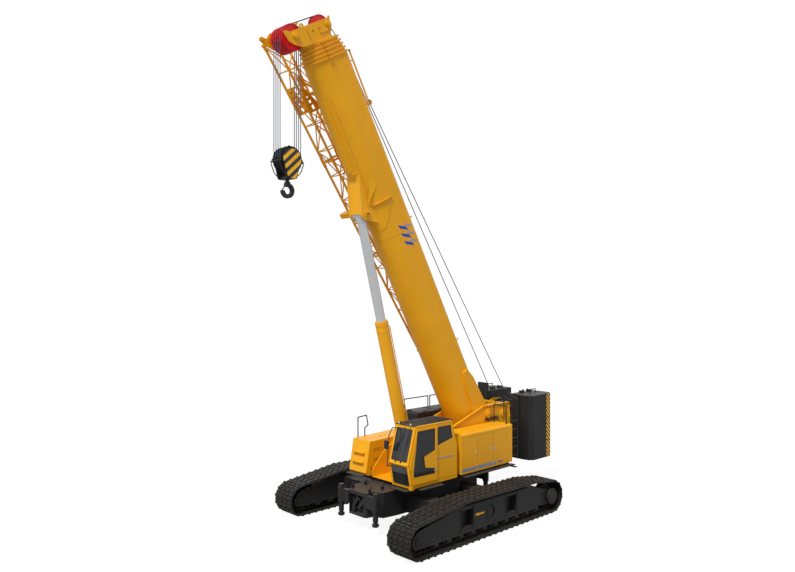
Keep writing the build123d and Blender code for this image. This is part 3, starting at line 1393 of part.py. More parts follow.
# ------------------------------------------------------------------ every piece, by name
PARTS = {
    "carbody": carbody.part,
    "slew_ring": slew_ring.part,
    "jack_tubes": jack_tubes.part,
    "turntable": turntable.part,
    "deck": deck.part,
    "winch_frame": winch_frame.part,
    "winch_main": winch(WINCH_PIN, CHEEK_INNER, CHEEK_PLATE, WINCH_SHAFT),
    "winch_aux": winch(AUX_WINCH_PIN, AUX_HALF, AUX_PLATE, AUX_WINCH_SHAFT),
    "counterweight": counterweight.part,
    "counterweight_hangers": counterweight_hangers.part,
    "boom_base": boom_base.part,
    "boom_foot_pin": cross_pin(BOOM_FOOT, FOOT_PIN_RADIUS, CHEEK_INNER + CHEEK_PLATE + 30),
    "boom_head": boom_head.part,
    "head_sheaves": sheaves(HEAD_POINT, SHEAVE_RADIUS, FRONT_SHEAVES),
    "top_sheaves": sheaves(TOP_POINT, TOP_SHEAVE_RADIUS, TOP_SHEAVES),
    "cylinder_pin": cross_pin(EYE_POINT, CYLINDER_PIN, EYE_HALF + RUN + EYE_LUG + 34),
    "luff_rod": luff_rod.part,
    "luff_barrel": luff_barrel.part,
    "jib": jib.part,
    "jib_brackets": jib_brackets.part,
    "hoist_falls": hoist_falls.part,
    "hook_block": hook_block.part,
    "block_sheaves": sheaves(BLOCK_POINT, SHEAVE_RADIUS, FALL_SHEAVES),
    "hook": hook.part,
    "cab_shell": cab_shell.part,
    "cab_glass": cab_glass.part,
    "cab_guard": cab_guard.part,
    "cab_door": cab_door.part,
    "door_glass": door_glass.part,
    "seat": seat.part,
    "left_hood": left_hood.part,
    "engine": engine.part,
    "right_hood": right_hood.part,
    "tank": tank.part,
    "walkways": walkways.part,
    "handrails": handrails.part,
}
for name, (x, y) in JACKS.items():
    PARTS[f"jack_leg_{name}"] = jack_leg(x, y)
for side_name, outward in (("left", 1), ("right", -1)):
    centre = outward * GAUGE / 2
    PARTS[f"track_chain_{side_name}"] = track_chain(centre)
    PARTS[f"track_frame_{side_name}"] = track_frame(centre, outward)
    PARTS[f"track_rollers_{side_name}"] = rollers(centre)
    PARTS[f"idler_{side_name}"] = idler(centre)
    PARTS[f"sprocket_{side_name}"] = sprocket(centre)
    PARTS[f"final_drive_{side_name}"] = final_drive(centre, outward)
for index in range(len(HOOD_DOOR_X)):
    PARTS[f"hood_door_{index + 1}"] = hood_door(index)
for level in range(1, SECTION_COUNT - 1):
    PARTS[f"boom_section_{level + 1}"] = boom_section(level)

for name, part in PARTS.items():
    part.label = name
    export_step(part, f"parts/{name}.step")
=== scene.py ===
import json
from math import acos, atan2, cos, hypot, pi, radians, sin

import bmesh
import bpy
from mathutils import Matrix, Vector


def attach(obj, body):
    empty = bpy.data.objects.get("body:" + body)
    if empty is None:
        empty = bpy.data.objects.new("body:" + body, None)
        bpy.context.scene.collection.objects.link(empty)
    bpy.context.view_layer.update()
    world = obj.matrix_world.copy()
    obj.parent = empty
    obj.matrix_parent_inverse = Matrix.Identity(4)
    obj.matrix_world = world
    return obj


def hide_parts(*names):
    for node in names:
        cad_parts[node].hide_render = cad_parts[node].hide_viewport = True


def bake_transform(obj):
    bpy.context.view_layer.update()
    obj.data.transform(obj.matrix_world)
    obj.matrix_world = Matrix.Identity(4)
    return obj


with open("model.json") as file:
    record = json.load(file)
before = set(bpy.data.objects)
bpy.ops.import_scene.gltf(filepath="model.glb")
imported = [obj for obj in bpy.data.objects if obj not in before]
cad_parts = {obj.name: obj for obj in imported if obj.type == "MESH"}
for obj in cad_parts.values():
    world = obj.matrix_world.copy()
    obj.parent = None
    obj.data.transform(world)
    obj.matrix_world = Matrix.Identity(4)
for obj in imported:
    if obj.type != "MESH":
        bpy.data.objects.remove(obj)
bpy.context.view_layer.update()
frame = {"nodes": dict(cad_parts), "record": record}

bl_info = {
    "name": "Telescopic crawler crane",
    "version": (1, 0, 0),
    "blender": (4, 5, 0),
    "location": "View3D > Sidebar > Crane",
    "description": "Shoes, ropes, trim, glass and paint for the packed crane",
    "category": "Object",
}

# ------------------------------------------------------------------ the crane's own measures, in metres
# the boom's slope and its own directions: up along it, over its top and to its left
LUFF = radians(61)
BOOM_FOOT = Vector((-2.88, 0, 2.99))
UP = Vector((cos(LUFF), 0, sin(LUFF)))
OVER = Vector((-sin(LUFF), 0, cos(LUFF)))
LEFT = Vector((0, 1, 0))
FORWARD = Vector((1, 0, 0))
UPWARD = Vector((0, 0, 1))
# tracks; each wheel of the belt line is given by its x, z and radius
GAUGE = 5.37
LOOP_WHEELS = ((-3.18, 0.53, 0.53), (2.95, 0.5, 0.5), (1.05, 1.035, 0.2), (-2.15, 1.0, 0.2))
SHOE_PITCH = 0.262
SHOE_WIDTH = 0.9
DRIVE_FACE = 0.415
# boom head: axles along and over the boom, and the radii at which the ropes lie in the grooves
HEAD_ALONG = 13.78
FRONT_AXLE = -1.53
TOP_AXLE = -0.26
HEAD_FACE = 0.396
TOP_LAY = 0.33
FRONT_LAY = 0.355
ROPE = 0.013
# hook block and luffing cylinder
BLOCK_AXLE = Vector((5.138845, 0, 10.93))
BLOCK_HALF = 0.227
CYLINDER_FOOT = Vector((0.352, 0, 1.545))
CYLINDER_EYE = Vector((2.449953, 0, 9.593999))
BARREL_LENGTH = 4.93
BARREL_RADIUS = 0.205
# cab and hoods: faces by their y, edges of the cab's front by their x and z
CAB_OUTER = 1.455
CAB_INNER = 0.628
CAB_NOSE = (1.85, 2.09)
CAB_BROW = (1.545, 3.185)
CAB_TOE = (1.69, 1.36)
DOOR_FACE = 1.501
HOOD_FACE = 1.45


def on_boom(along, over, side=0.0):
    """A point so far along the boom, over its top and to its left."""
    return BOOM_FOOT + UP * along + OVER * over + LEFT * side


def linear(red, green, blue):
    """A display colour, 0 to 255 a channel, as the shader wants it."""
    return tuple(((c / 255 + 0.055) / 1.055) ** 2.4 if c > 10 else c / 3294.6 for c in (red, green, blue))


# ------------------------------------------------------------------ what a user would change
def colour(name, description, default):
    return bpy.props.FloatVectorProperty(
        name=name, description=description, default=default, subtype="COLOR", size=3, min=0, max=1
    )


def distance(name, description, default):
    return bpy.props.FloatProperty(
        name=name, description=description, default=default, subtype="DISTANCE", unit="LENGTH", min=0
    )


def share(name, description, default):
    return bpy.props.FloatProperty(
        name=name, description=description, default=default, subtype="FACTOR", min=0, max=1
    )


class CranePaint(bpy.types.PropertyGroup):
    """Paint and finish colours."""

    body: colour("Body paint", "Boom, cab and hoods", linear(243, 172, 14))
    dark: colour("Dark paint", "Undercarriage, weights and rails", linear(31, 31, 32))
    rod: colour("Rod", "Luffing cylinder's rod", linear(206, 209, 211))
    sheave: colour("Sheave", "Rope sheaves", linear(226, 22, 36))
    blue: colour("Blue band", "Slanted marks on the boom and hood", linear(6, 66, 172))
    silver: colour("Silver band", "Band along the hood and marks on the boom", linear(146, 152, 176))
    wear: share("Wear", "How much the edges are rubbed", 0.35)
    dust: share("Dust", "How much dust lies on upward faces", 0.12)


class CraneRigging(bpy.types.PropertyGroup):
    """Ropes and how they are wound."""

    rope: distance("Rope radius", "Radius of the hoist rope", ROPE)
    turns: bpy.props.IntProperty(name="Turns", description="Turns of rope on a drum", default=36, min=4)


class CraneStage(bpy.types.PropertyGroup):
    """Floor, backdrop and lamps."""

    floor: colour("Floor", "Colour of the floor under the crane", (0.42, 0.42, 0.42))
    sky: share("Sky light", "Strength of the light from all round", 0.42)
    sun: bpy.props.FloatProperty(name="Sun", description="Strength of the lamp overhead", default=2.8, min=0)
    shadow: share("Shadow", "How much of the floor's shadow shows", 0.25)


# ------------------------------------------------------------------ meshes
class Shape:
    """One piece while it is being made, in the crane's own frame."""

    def __init__(self):
        self.bm = bmesh.new()

    def circle(self, centre, first, second, radius, sides):
        """The corners of a circle in the plane of two directions."""
        turn = [2 * pi * k / sides for k in range(sides)]
        return [self.bm.verts.new(centre + (first * cos(a) + second * sin(a)) * radius) for a in turn]

    def wall(self, near, far):
        """The faces between two circles with the same number of corners."""
        for i, vert in enumerate(near):
            j = (i + 1) % len(near)
            self.bm.faces.new((vert, near[j], far[j], far[i]))

    def box(self, low, high):
        """A box between two corners."""
        middle = [(a + b) / 2 for a, b in zip(low, high)]
        size = [abs(b - a) for a, b in zip(low, high)]
        place = Matrix.Translation(middle) @ Matrix.Diagonal((*size, 1))
        bmesh.ops.create_cube(self.bm, size=1, matrix=place)

    def prism(self, outline, origin, across, up, depth):
        """An outline in the plane of two directions, given a thickness along their normal."""
        across, up = Vector(across).normalized(), Vector(up).normalized()
        shift = across.cross(up) * depth
        near = [self.bm.verts.new(Vector(origin) + across * a + up * b) for a, b in outline]
        far = [self.bm.verts.new(vert.co + shift) for vert in near]
        self.bm.faces.new(near[::-1])
        self.bm.faces.new(far)
        self.wall(near, far)

    def ring(self, outer, inner, origin, across, up, depth):
        """The band between two outlines with the same number of corners."""
        across, up = Vector(across).normalized(), Vector(up).normalized()
        shift = across.cross(up) * depth
        loops = []
        for outline in (outer, inner):
            near = [self.bm.verts.new(Vector(origin) + across * a + up * b) for a, b in outline]
            loops.append((near, [self.bm.verts.new(vert.co + shift) for vert in near]))
        (outer_near, outer_far), (inner_near, inner_far) = loops
        for i in range(len(outer_near)):
            j = (i + 1) % len(outer_near)
            self.bm.faces.new((outer_near[i], outer_near[j], inner_near[j], inner_near[i]))
            self.bm.faces.new((outer_far[j], outer_far[i], inner_far[i], inner_far[j]))
            self.bm.faces.new((outer_near[j], outer_near[i], outer_far[i], outer_far[j]))
            self.bm.faces.new((inner_near[i], inner_near[j], inner_far[j], inner_far[i]))

    def bar(self, start, end, radius, sides=12, tip=None):
        """A round bar, or a cone where the tip's radius is given."""
        start, end = Vector(start), Vector(end)
        run = end - start
        place = Matrix.Translation((start + end) / 2) @ run.to_track_quat("Z", "Y").to_matrix().to_4x4()
        bmesh.ops.create_cone(
            self.bm,
            cap_ends=True,
            segments=sides,
            radius1=radius,
            radius2=radius if tip is None else tip,
            depth=run.length,
            matrix=place,
        )

    def ball(self, centre, radius, sides=12):
        """A ball."""
        bmesh.ops.create_uvsphere(
            self.bm, u_segments=sides, v_segments=sides // 2, radius=radius, matrix=Matrix.Translation(centre)
        )

    def sweep(self, points, radius, sides=8, closed=False):
        """A round tube along a run of points."""
        points = [Vector(p) for p in points]
        count = len(points)
        rings = []
        normal = None
        for i, point in enumerate(points):
            before = points[i - 1] if i or closed else point
            after = points[(i + 1) % count] if i + 1 < count or closed else point
            along = (after - before).normalized()
            if normal is None:
                normal = along.orthogonal().normalized()
            normal = (normal - along * normal.dot(along)).normalized()
            rings.append(self.circle(point, normal, along.cross(normal), radius, sides))
        for i in range(count if closed else count - 1):
            self.wall(rings[i], rings[(i + 1) % count])
        if not closed:
            self.bm.faces.new(rings[0][::-1])
            self.bm.faces.new(rings[-1])

    def turned(self, profile, centre, axis, sides=32):
        """A profile of (distance along the axis, radius) turned about it."""
        axis = Vector(axis).normalized()
        first = axis.orthogonal().normalized()
        second = axis.cross(first)
        rings = []
        for along, radius in profile:
            rings.append(self.circle(Vector(centre) + axis * along, first, second, radius, sides))
        for near, far in zip(rings, rings[1:]):
            self.wall(near, far)
        self.bm.faces.new(rings[0][::-1])
        self.bm.faces.new(rings[-1])

    def bolts(self, centre, axis, circle, count, radius=0.016, height=0.014):
        """A circle of six-sided bolt heads."""
        axis = Vector(axis).normalized()
        first = LEFT.cross(axis) if abs(axis.y) < 0.9 else FORWARD
        first = (first - axis * first.dot(axis)).normalized()
        second = axis.cross(first)
        for i in range(count):
            a = 2 * pi * i / count
            foot = Vector(centre) + (first * cos(a) + second * sin(a)) * circle
            self.bar(foot, foot + axis * height, radius, 6)

    def stamp(self, other, place):
        """Another shape's mesh copied in at a place."""
        made = {vert: self.bm.verts.new(place @ vert.co) for vert in other.bm.verts}
        for face in other.bm.faces:
            self.bm.faces.new([made[vert] for vert in face.verts])

    def piece(self, name, body, paint, slot, bevel=0.0):
        """Makes the object, paints it and lets it ride on its body."""
        bmesh.ops.recalc_face_normals(self.bm, faces=self.bm.faces)
        mesh = bpy.data.meshes.new(name)
        self.bm.to_mesh(mesh)
        self.bm.free()
        mesh.polygons.foreach_set("use_smooth", [True] * len(mesh.polygons))
        mesh.set_sharp_from_angle(angle=radians(35))
        made = bpy.data.objects.new(name, mesh)
        bpy.context.scene.collection.objects.link(made)
        mesh.materials.append(PAINTS[paint])
        if bevel:
            modifier = made.modifiers.new("edges", "BEVEL")
            modifier.width = bevel
            modifier.segments = 2
            modifier.limit_method = "ANGLE"
            modifier.harden_normals = True
        if body:
            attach(made, body)
        return made


def inset(outline, amount):
    """The corners of a closed outline moved in by the same distance from each side."""
    area = sum(a[0] * b[1] - b[0] * a[1] for a, b in zip(outline, outline[1:] + outline[:1]))
    side = 1 if area > 0 else -1
    moved = []
    for i, here in enumerate(outline):
        before, after = outline[i - 1], outline[(i + 1) % len(outline)]
        d1 = Vector((here[0] - before[0], here[1] - before[1])).normalized()
        d2 = Vector((after[0] - here[0], after[1] - here[1])).normalized()
        n1, n2 = Vector((-d1.y, d1.x)) * side, Vector((-d2.y, d2.x)) * side
        bend = n1 + n2
        moved.append((Vector(here) + bend * (amount / max(0.3, 1 + n1.dot(n2)))).to_tuple())
    return moved


def oblong(left, low, right, high):
    """The corners of an upright rectangle between two of them."""
    return ((left, low), (right, low), (right, high), (left, high))


def rounded(width, height, radius):
    """Corners of an upright rectangle with round corners, about its middle."""
    steps = 4
    corners = []
    for k, (x, y) in enumerate(((1, 1), (-1, 1), (-1, -1), (1, -1))):
        for i in range(steps + 1):
            a = (k + i / steps) * pi / 2
            corners.append(
                (x * (width / 2 - radius) + radius * cos(a), y * (height / 2 - radius) + radius * sin(a))
            )
    return corners


# ------------------------------------------------------------------ finishes
PAINTS = {}
BARE = (0.12, 0.10, 0.09)
DUST = (0.36, 0.31, 0.24)


def shader_tree(name):
    """A new material with its tree and shader."""
    material = bpy.data.materials.new(name)
    material.use_nodes = True
    tree = material.node_tree
    return material, tree, tree.nodes["Principled BSDF"]


def node(tree, kind, inputs=(), **settings):
    """A node with its settings and inputs; an input is a socket or a value."""
    made = tree.nodes.new(kind)
    for key, value in settings.items():
        setattr(made, key, value)
    for key, value in dict(inputs).items():
        if isinstance(value, bpy.types.NodeSocket):
            tree.links.new(value, made.inputs[key])
        else:
            made.inputs[key].default_value = value
    return made


def math_node(tree, operation, *values):
    """One sum on numbers or sockets."""
    return node(tree, "ShaderNodeMath", enumerate(values), operation=operation).outputs[0]


def object_frame(tree):
    """Places in the crane's own frame."""
    return node(tree, "ShaderNodeTexCoord").outputs["Object"]


def noise(tree, scale, detail=3.0, stretch=None):
    """Noise in the crane's own frame, drawn out along an axis where asked."""
    coords = object_frame(tree)
    if stretch:
        coords = node(tree, "ShaderNodeMapping", {"Vector": coords, "Scale": stretch}).outputs[0]
    made = node(tree, "ShaderNodeTexNoise", {"Vector": coords, "Scale": scale, "Detail": detail})
    return made.outputs["Fac"]


def ramp(tree, value, low, high, start=0.0, end=1.0):
    """A value between low and high drawn over start to end."""
    inputs = {"Value": value, "From Min": low, "From Max": high, "To Min": start, "To Max": end}
    return node(tree, "ShaderNodeMapRange", inputs, clamp=True).outputs[0]


def mixed(tree, factor, first, second):
    """Two colours mixed."""
    made = node(tree, "ShaderNodeMix", {0: factor}, data_type="RGBA")
    for socket, value in ((made.inputs[6], first), (made.inputs[7], second)):
        if isinstance(value, bpy.types.NodeSocket):
            tree.links.new(value, socket)
        else:
            socket.default_value = (*value, 1)
    return made.outputs[2]


def across_bands(tree, direction, pitch):
    """How many bands of a pitch lie between a place and the frame's own middle, along a direction."""
    inputs = {0: object_frame(tree), 1: Vector(direction) / pitch}
    return node(tree, "ShaderNodeVectorMath", inputs, operation="DOT_PRODUCT").outputs["Value"]


def shaded(colour, amount):
    """A colour made darker."""
    return tuple(c * amount for c in colour)


def finish(made, tone, roughness, strength, distance, height, normal=None):
    """Joins tone, roughness and bump to a material's shader and keeps it under its name."""
    material, tree, shader = made
    tree.links.new(tone, shader.inputs["Base Color"])
    tree.links.new(roughness, shader.inputs["Roughness"])
    bump = node(tree, "ShaderNodeBump", {"Strength": strength, "Distance": distance, "Height": height})
    if normal is not None:
        tree.links.new(normal, bump.inputs["Normal"])
    tree.links.new(bump.outputs[0], shader.inputs["Normal"])
    PAINTS[material.name] = material


def weathered(name, base, rough, metal=0.0, shine=0.5, blotch=0.1, dust=0.1, worn=0.0, grain=0.02, bare=BARE):
    """Paint or metal with blotches, run-off, dust on its upward faces and rubbed edges."""
    made = shader_tree(name)
    tree, shader = made[1:]
    big, fine = noise(tree, 0.9, 4), noise(tree, 38, 5)
    runs = noise(tree, 3.0, 4, (1, 1, 0.12))
    lighter = tuple(min(1, c * (1 + blotch * 0.6) + 0.002) for c in base)
    tone = mixed(tree, ramp(tree, big, 0.35, 0.65), shaded(base, 1 - blotch), lighter)
    tone = mixed(tree, ramp(tree, runs, 0.52, 0.75, 0, blotch * 1.6), tone, shaded(base, 0.45))
    normal = None
    if dust or worn:
        straight = node(tree, "ShaderNodeNewGeometry").outputs["Normal"]
    if dust:
        upward = node(tree, "ShaderNodeSeparateXYZ", {0: straight}).outputs[2]
        film = ramp(tree, fine, 0.35, 0.7)
        settled = math_node(tree, "MULTIPLY", ramp(tree, upward, 0.6, 1, 0, dust * 2), film)
        tone = mixed(tree, settled, tone, DUST)
    if worn:
        normal = node(tree, "ShaderNodeBevel", {"Radius": 0.012}, samples=3).outputs[0]
        inputs = {0: normal, 1: straight}
        facing = node(tree, "ShaderNodeVectorMath", inputs, operation="DOT_PRODUCT").outputs["Value"]
        rubbed = ramp(tree, fine, 0.5, 0.62, 0, worn)
        edge = math_node(tree, "MULTIPLY", ramp(tree, facing, 0.995, 0.86), rubbed)
        tone = mixed(tree, edge, tone, bare)
    shader.inputs["Metallic"].default_value = metal
    shader.inputs["Specular IOR Level"].default_value = shine
    roughness = ramp(tree, fine, 0.3, 0.7, max(0.03, rough - 0.07), min(1, rough + 0.09))
    finish(made, tone, roughness, grain, 0.01, noise(tree, 160, 3), normal)


def striped(name, light, dark, direction, pitch):
    """Slanted warning stripes: two paints by turns along a direction."""
    made = shader_tree(name)
    tree = made[1]
    along = across_bands(tree, Vector(direction).normalized(), pitch)
    band = math_node(tree, "GREATER_THAN", math_node(tree, "FRACT", along), 0.5)
    fine = noise(tree, 30, 4)
    tone = mixed(tree, band, light, dark)
    tone = mixed(tree, ramp(tree, fine, 0.5, 0.8, 0, 0.25), tone, (0.12, 0.1, 0.08))
    finish(made, tone, ramp(tree, fine, 0.3, 0.7, 0.35, 0.52), 0.03, 0.01, noise(tree, 160, 2))


def tinted(name, base, transmission):
    """Dark tinted safety glass with a faint film of dust."""
    made = shader_tree(name)
    tree, shader = made[1:]
    film = noise(tree, 6, 4)
    tone = mixed(tree, ramp(tree, film, 0.4, 0.8, 0, 0.12), base, (0.2, 0.19, 0.17))
    shader.inputs["Transmission Weight"].default_value = transmission
    shader.inputs["IOR"].default_value = 1.5
    finish(made, tone, ramp(tree, film, 0.3, 0.7, 0.04, 0.12), 0.01, 0.01, noise(tree, 2.5, 1))


def stranded(name, base, direction, pitch):
    """Wire rope: slanted strands as bands along a direction, with painted shade in the grooves."""
    made = shader_tree(name)
    tree, shader = made[1:]
    along = across_bands(tree, direction, pitch)
    wave = math_node(tree, "ABSOLUTE", math_node(tree, "SINE", math_node(tree, "MULTIPLY", along, pi)))
    # the grooves between the strands are painted darker, as painted shade
    tone = mixed(tree, ramp(tree, wave, 0.0, 0.7), shaded(base, 0.25), base)
    tone = mixed(tree, ramp(tree, noise(tree, 20, 3), 0.45, 0.7, 0, 0.5), tone, shaded(base, 0.6))
    shader.inputs["Metallic"].default_value = 0.6
    finish(made, tone, ramp(tree, wave, 0, 1, 0.6, 0.45), 0.5, 0.004, wave)


def woven(name, base):
    """Seat cloth."""
    made = shader_tree(name)
    tree, shader = made[1:]
    threads = [
        node(
            tree, "ShaderNodeTexWave", {"Vector": object_frame(tree), "Scale": 120.0}, bands_direction=way
        ).outputs["Fac"]
        for way in ("Y", "Z")
    ]
    weave = math_node(tree, "MULTIPLY", *threads)
    tone = mixed(tree, weave, shaded(base, 0.6), base)
    shader.inputs["Sheen Weight"].default_value = 0.3
    finish(made, tone, ramp(tree, weave, 0, 1, 0.8, 0.95), 0.3, 0.002, weave)


CAD_FINISH = {
    "yellow_paint": "body paint",
    "dark_paint": "dark paint",
    "dark_steel": "dark steel",
    "track_steel": "track steel",
    "rod_chrome": "rod plating",
    "rope_wire": "falls wire",
    "red_sheave": "sheave plastic",
    "seat_cloth": "seat cloth",
    "tinted_glass": "cab glass",
}
NODE_FINISH = {
    "block_sheaves": "rubber",
    "hook": "dark paint",
    "hook_block": "dark paint",
    "boom_foot_pin": "body paint",
    "counterweight": "weight paint",
    "jack_leg_front_left": "dark paint",
    "jack_leg_front_right": "dark paint",
    "jack_leg_rear_left": "dark paint",
    "jack_leg_rear_right": "dark paint",
    "winch_main": "dark steel",
    "luff_barrel": "barrel paint",
}


class CRANE_OT_paint(bpy.types.Operator):
    """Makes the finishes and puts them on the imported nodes"""

    bl_idname = "crane.paint"
    bl_label = "Paint the crane"

    def execute(self, context):
        tones = context.scene.crane_paint
        body, dark = tuple(tones.body), tuple(tones.dark)
        wear, dust = tones.wear, tones.dust
        weathered("body paint", body, 0.38, shine=0.28, blotch=0.05, dust=dust * 0.12, worn=wear * 0.4)
        weathered("barrel paint", body, 0.32, shine=0.35, blotch=0.05, dust=0, worn=0)
        rubbed = {"dust": dust, "worn": wear}
        dull = {"shine": 0.3, **rubbed}
        weathered("dark paint", dark, 0.5, blotch=0.2, bare=(0.09, 0.085, 0.08), **dull)
        weathered("weight paint", dark, 0.55, blotch=0.16, grain=0.08, bare=(0.1, 0.1, 0.1), **dull)
        weathered("dark steel", linear(44, 44, 46), 0.42, metal=0.5, blotch=0.25, **rubbed)
        polished = {"dust": dust * 0.4, "worn": 0.8, "bare": (0.13, 0.11, 0.09)}
        weathered("track steel", linear(24, 23, 22), 0.55, shine=0.3, blotch=0.3, grain=0.15, **polished)
        weathered("rod plating", tuple(tones.rod), 0.22, metal=0.35, blotch=0.03, dust=0, grain=0.005)
        weathered("sheave plastic", tuple(tones.sheave), 0.42, blotch=0.1, dust=dust * 0.4, grain=0.02)
        weathered("blue band", tuple(tones.blue), 0.35, blotch=0.04, dust=0)
        weathered("silver band", tuple(tones.silver), 0.35, metal=0.2, blotch=0.04, dust=0)
        weathered("bright metal", linear(196, 200, 206), 0.25, metal=0.8, blotch=0.05, dust=0)
        weathered("rubber", linear(26, 27, 32), 0.75, blotch=0.15, dust=dust, grain=0.1)
        weathered("grey plastic", linear(74, 75, 78), 0.5, blotch=0.1, dust=0)
        weathered("hose", linear(24, 24, 26), 0.6, blotch=0.15, dust=dust, grain=0.1)
        weathered("lamp lens", linear(226, 228, 230), 0.1, blotch=0.03, dust=0)
        striped("weight stripes", linear(255, 190, 14), linear(22, 22, 24), (-1, 0, 1), 0.105)
        striped("block stripes", linear(255, 190, 14), linear(20, 22, 28), (-0.9, 0, -1), 0.2)
        stranded("falls wire", linear(70, 86, 108), (60, 60, 40), 1.0)
        stranded("boom rope wire", linear(40, 52, 74), (30, 45, 40), 1.0)
        stranded("drum rope wire", linear(64, 66, 70), (40, 0, 40), 1.0)
        tinted("cab glass", linear(40, 42, 46), 0.25)
        woven("seat cloth", linear(56, 56, 60))
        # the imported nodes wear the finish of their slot, or one of their own
        slots = {row["node"]: row["material_slot"] for row in frame["record"]["subparts"]}
        for name, shown in frame["nodes"].items():
            shown.data.materials.clear()
            shown.data.materials.append(PAINTS[NODE_FINISH.get(name, CAD_FINISH[slots[name]])])
        return {"FINISHED"}


# ------------------------------------------------------------------ tracks
def loop_pieces():
    """Straight runs and arcs of the belt line: length, start wheel, end wheel, direction."""
    normals = []
    for (x1, z1, r1), (x2, z2, r2) in zip(LOOP_WHEELS, LOOP_WHEELS[1:] + LOOP_WHEELS[:1]):
        normals.append(atan2(z2 - z1, x2 - x1) - acos((r1 - r2) / hypot(x2 - x1, z2 - z1)))
    pieces = []
    for i, (wheel, n) in enumerate(zip(LOOP_WHEELS, normals)):
        following = LOOP_WHEELS[(i + 1) % len(LOOP_WHEELS)]
        span = hypot(following[0] - wheel[0], following[1] - wheel[1])
        pieces.append(((span**2 - (wheel[2] - following[2]) ** 2) ** 0.5, wheel, following, n))
        turn = (normals[(i + 1) % len(normals)] - n) % (2 * pi)
        pieces.append((following[2] * turn, following, following, n))
    return pieces


def loop_point(pieces, distance):
    """Point of the belt line and its outward direction so far round."""
    distance %= sum(piece[0] for piece in pieces)
    for length, (x1, z1, r1), (x2, z2, r2), n in pieces:
        if distance <= length:
            break
        distance -= length
    if (x1, z1) == (x2, z2):
        n += distance / r1
        return Vector((x1 + r1 * cos(n), 0, z1 + r1 * sin(n))), Vector((cos(n), 0, sin(n)))
    part = distance / length
    x = x1 + r1 * cos(n) + part * (x2 - x1 + (r2 - r1) * cos(n))
    z = z1 + r1 * sin(n) + part * (z2 - z1 + (r2 - r1) * sin(n))
    return Vector((x, 0, z)), Vector((cos(n), 0, sin(n)))


# a shoe's plate, studs and links, as heights above the belt line and lengths
SHOE_INNER, SHOE_SHOULDER, SHOE_OUTER = -0.058, -0.044, -0.034
STUD_LENGTH, STUD_PITCH, STUD_HEIGHT = 0.175, 0.222, 0.035
LINK_SIDE, LINK_THICK, LINK_HALF = 0.1, 0.045, 0.125
LINK_TOP, LINK_WAIST, LINK_FOOT = -0.062, -0.105, -0.13


def one_shoe():
    """A shoe with its studs, its two links and their pin; the belt line runs along X and outward is up."""
    shape = Shape()
    half = SHOE_PITCH / 2 - 0.011
    crown = half - 0.015
    section = (
        (-half, SHOE_INNER), (half, SHOE_INNER), (half, SHOE_SHOULDER),
        (crown, SHOE_OUTER), (-crown, SHOE_OUTER), (-half, SHOE_SHOULDER),
    )
    shape.prism(section, LEFT * (SHOE_WIDTH / 2), FORWARD, UPWARD, SHOE_WIDTH)
    stud = ((-0.044, 0), (0.044, 0), (0.034, STUD_HEIGHT), (-0.034, STUD_HEIGHT))
    for row in (-1, 1):
        for i in range(4):
            y = (i - 1.5) * STUD_PITCH + row * 0.022 + STUD_LENGTH / 2
            shape.prism(stud, (row * 0.057, y, SHOE_OUTER - 0.001), FORWARD, UPWARD, STUD_LENGTH)
    link = (
        (-LINK_HALF, LINK_TOP), (-LINK_HALF, LINK_WAIST), (-0.09, LINK_FOOT),
        (0.09, LINK_FOOT), (LINK_HALF, LINK_WAIST), (LINK_HALF, LINK_TOP),
    )
    for y in (-LINK_SIDE, LINK_SIDE):
        shape.prism(link, (0, y + LINK_THICK / 2, 0), FORWARD, UPWARD, LINK_THICK)
    pin = Vector((SHOE_PITCH / 2, 0, -0.095))
    shape.bar(pin - LEFT * 0.13, pin + LEFT * 0.13, 0.022, 8)
    return shape


class CRANE_OT_shoes(bpy.types.Operator):
    """Lays the shoes and links of both tracks"""

    bl_idname = "crane.shoes"
    bl_label = "Lay the track shoes"

    def execute(self, context):
        pieces = loop_pieces()
        length = sum(piece[0] for piece in pieces)
        count = round(length / SHOE_PITCH)
        shoe = one_shoe()
        for name, side in (("left", GAUGE / 2), ("right", -GAUGE / 2)):
            shape = Shape()
            for i in range(count):
                centre, outward = loop_point(pieces, (i + 0.5) * length / count)
                place = Matrix((LEFT.cross(outward), LEFT, outward)).transposed().to_4x4()
                place.translation = centre + LEFT * side
                shape.stamp(shoe, place)
            shoes = shape.piece(f"track_shoes_{name}", f"track_{name}", "track steel", "track_steel")
            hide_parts(f"track_chain_{name}")
        return {"FINISHED"}


FRAME_HALF = 0.3
BRACKETS, BRACKET_START, BRACKET_PITCH = 10, -2.43, 0.52
BRACKET_THICK = 0.016
# x and z of the frame's round cover
COVER = (-0.09, 0.65)


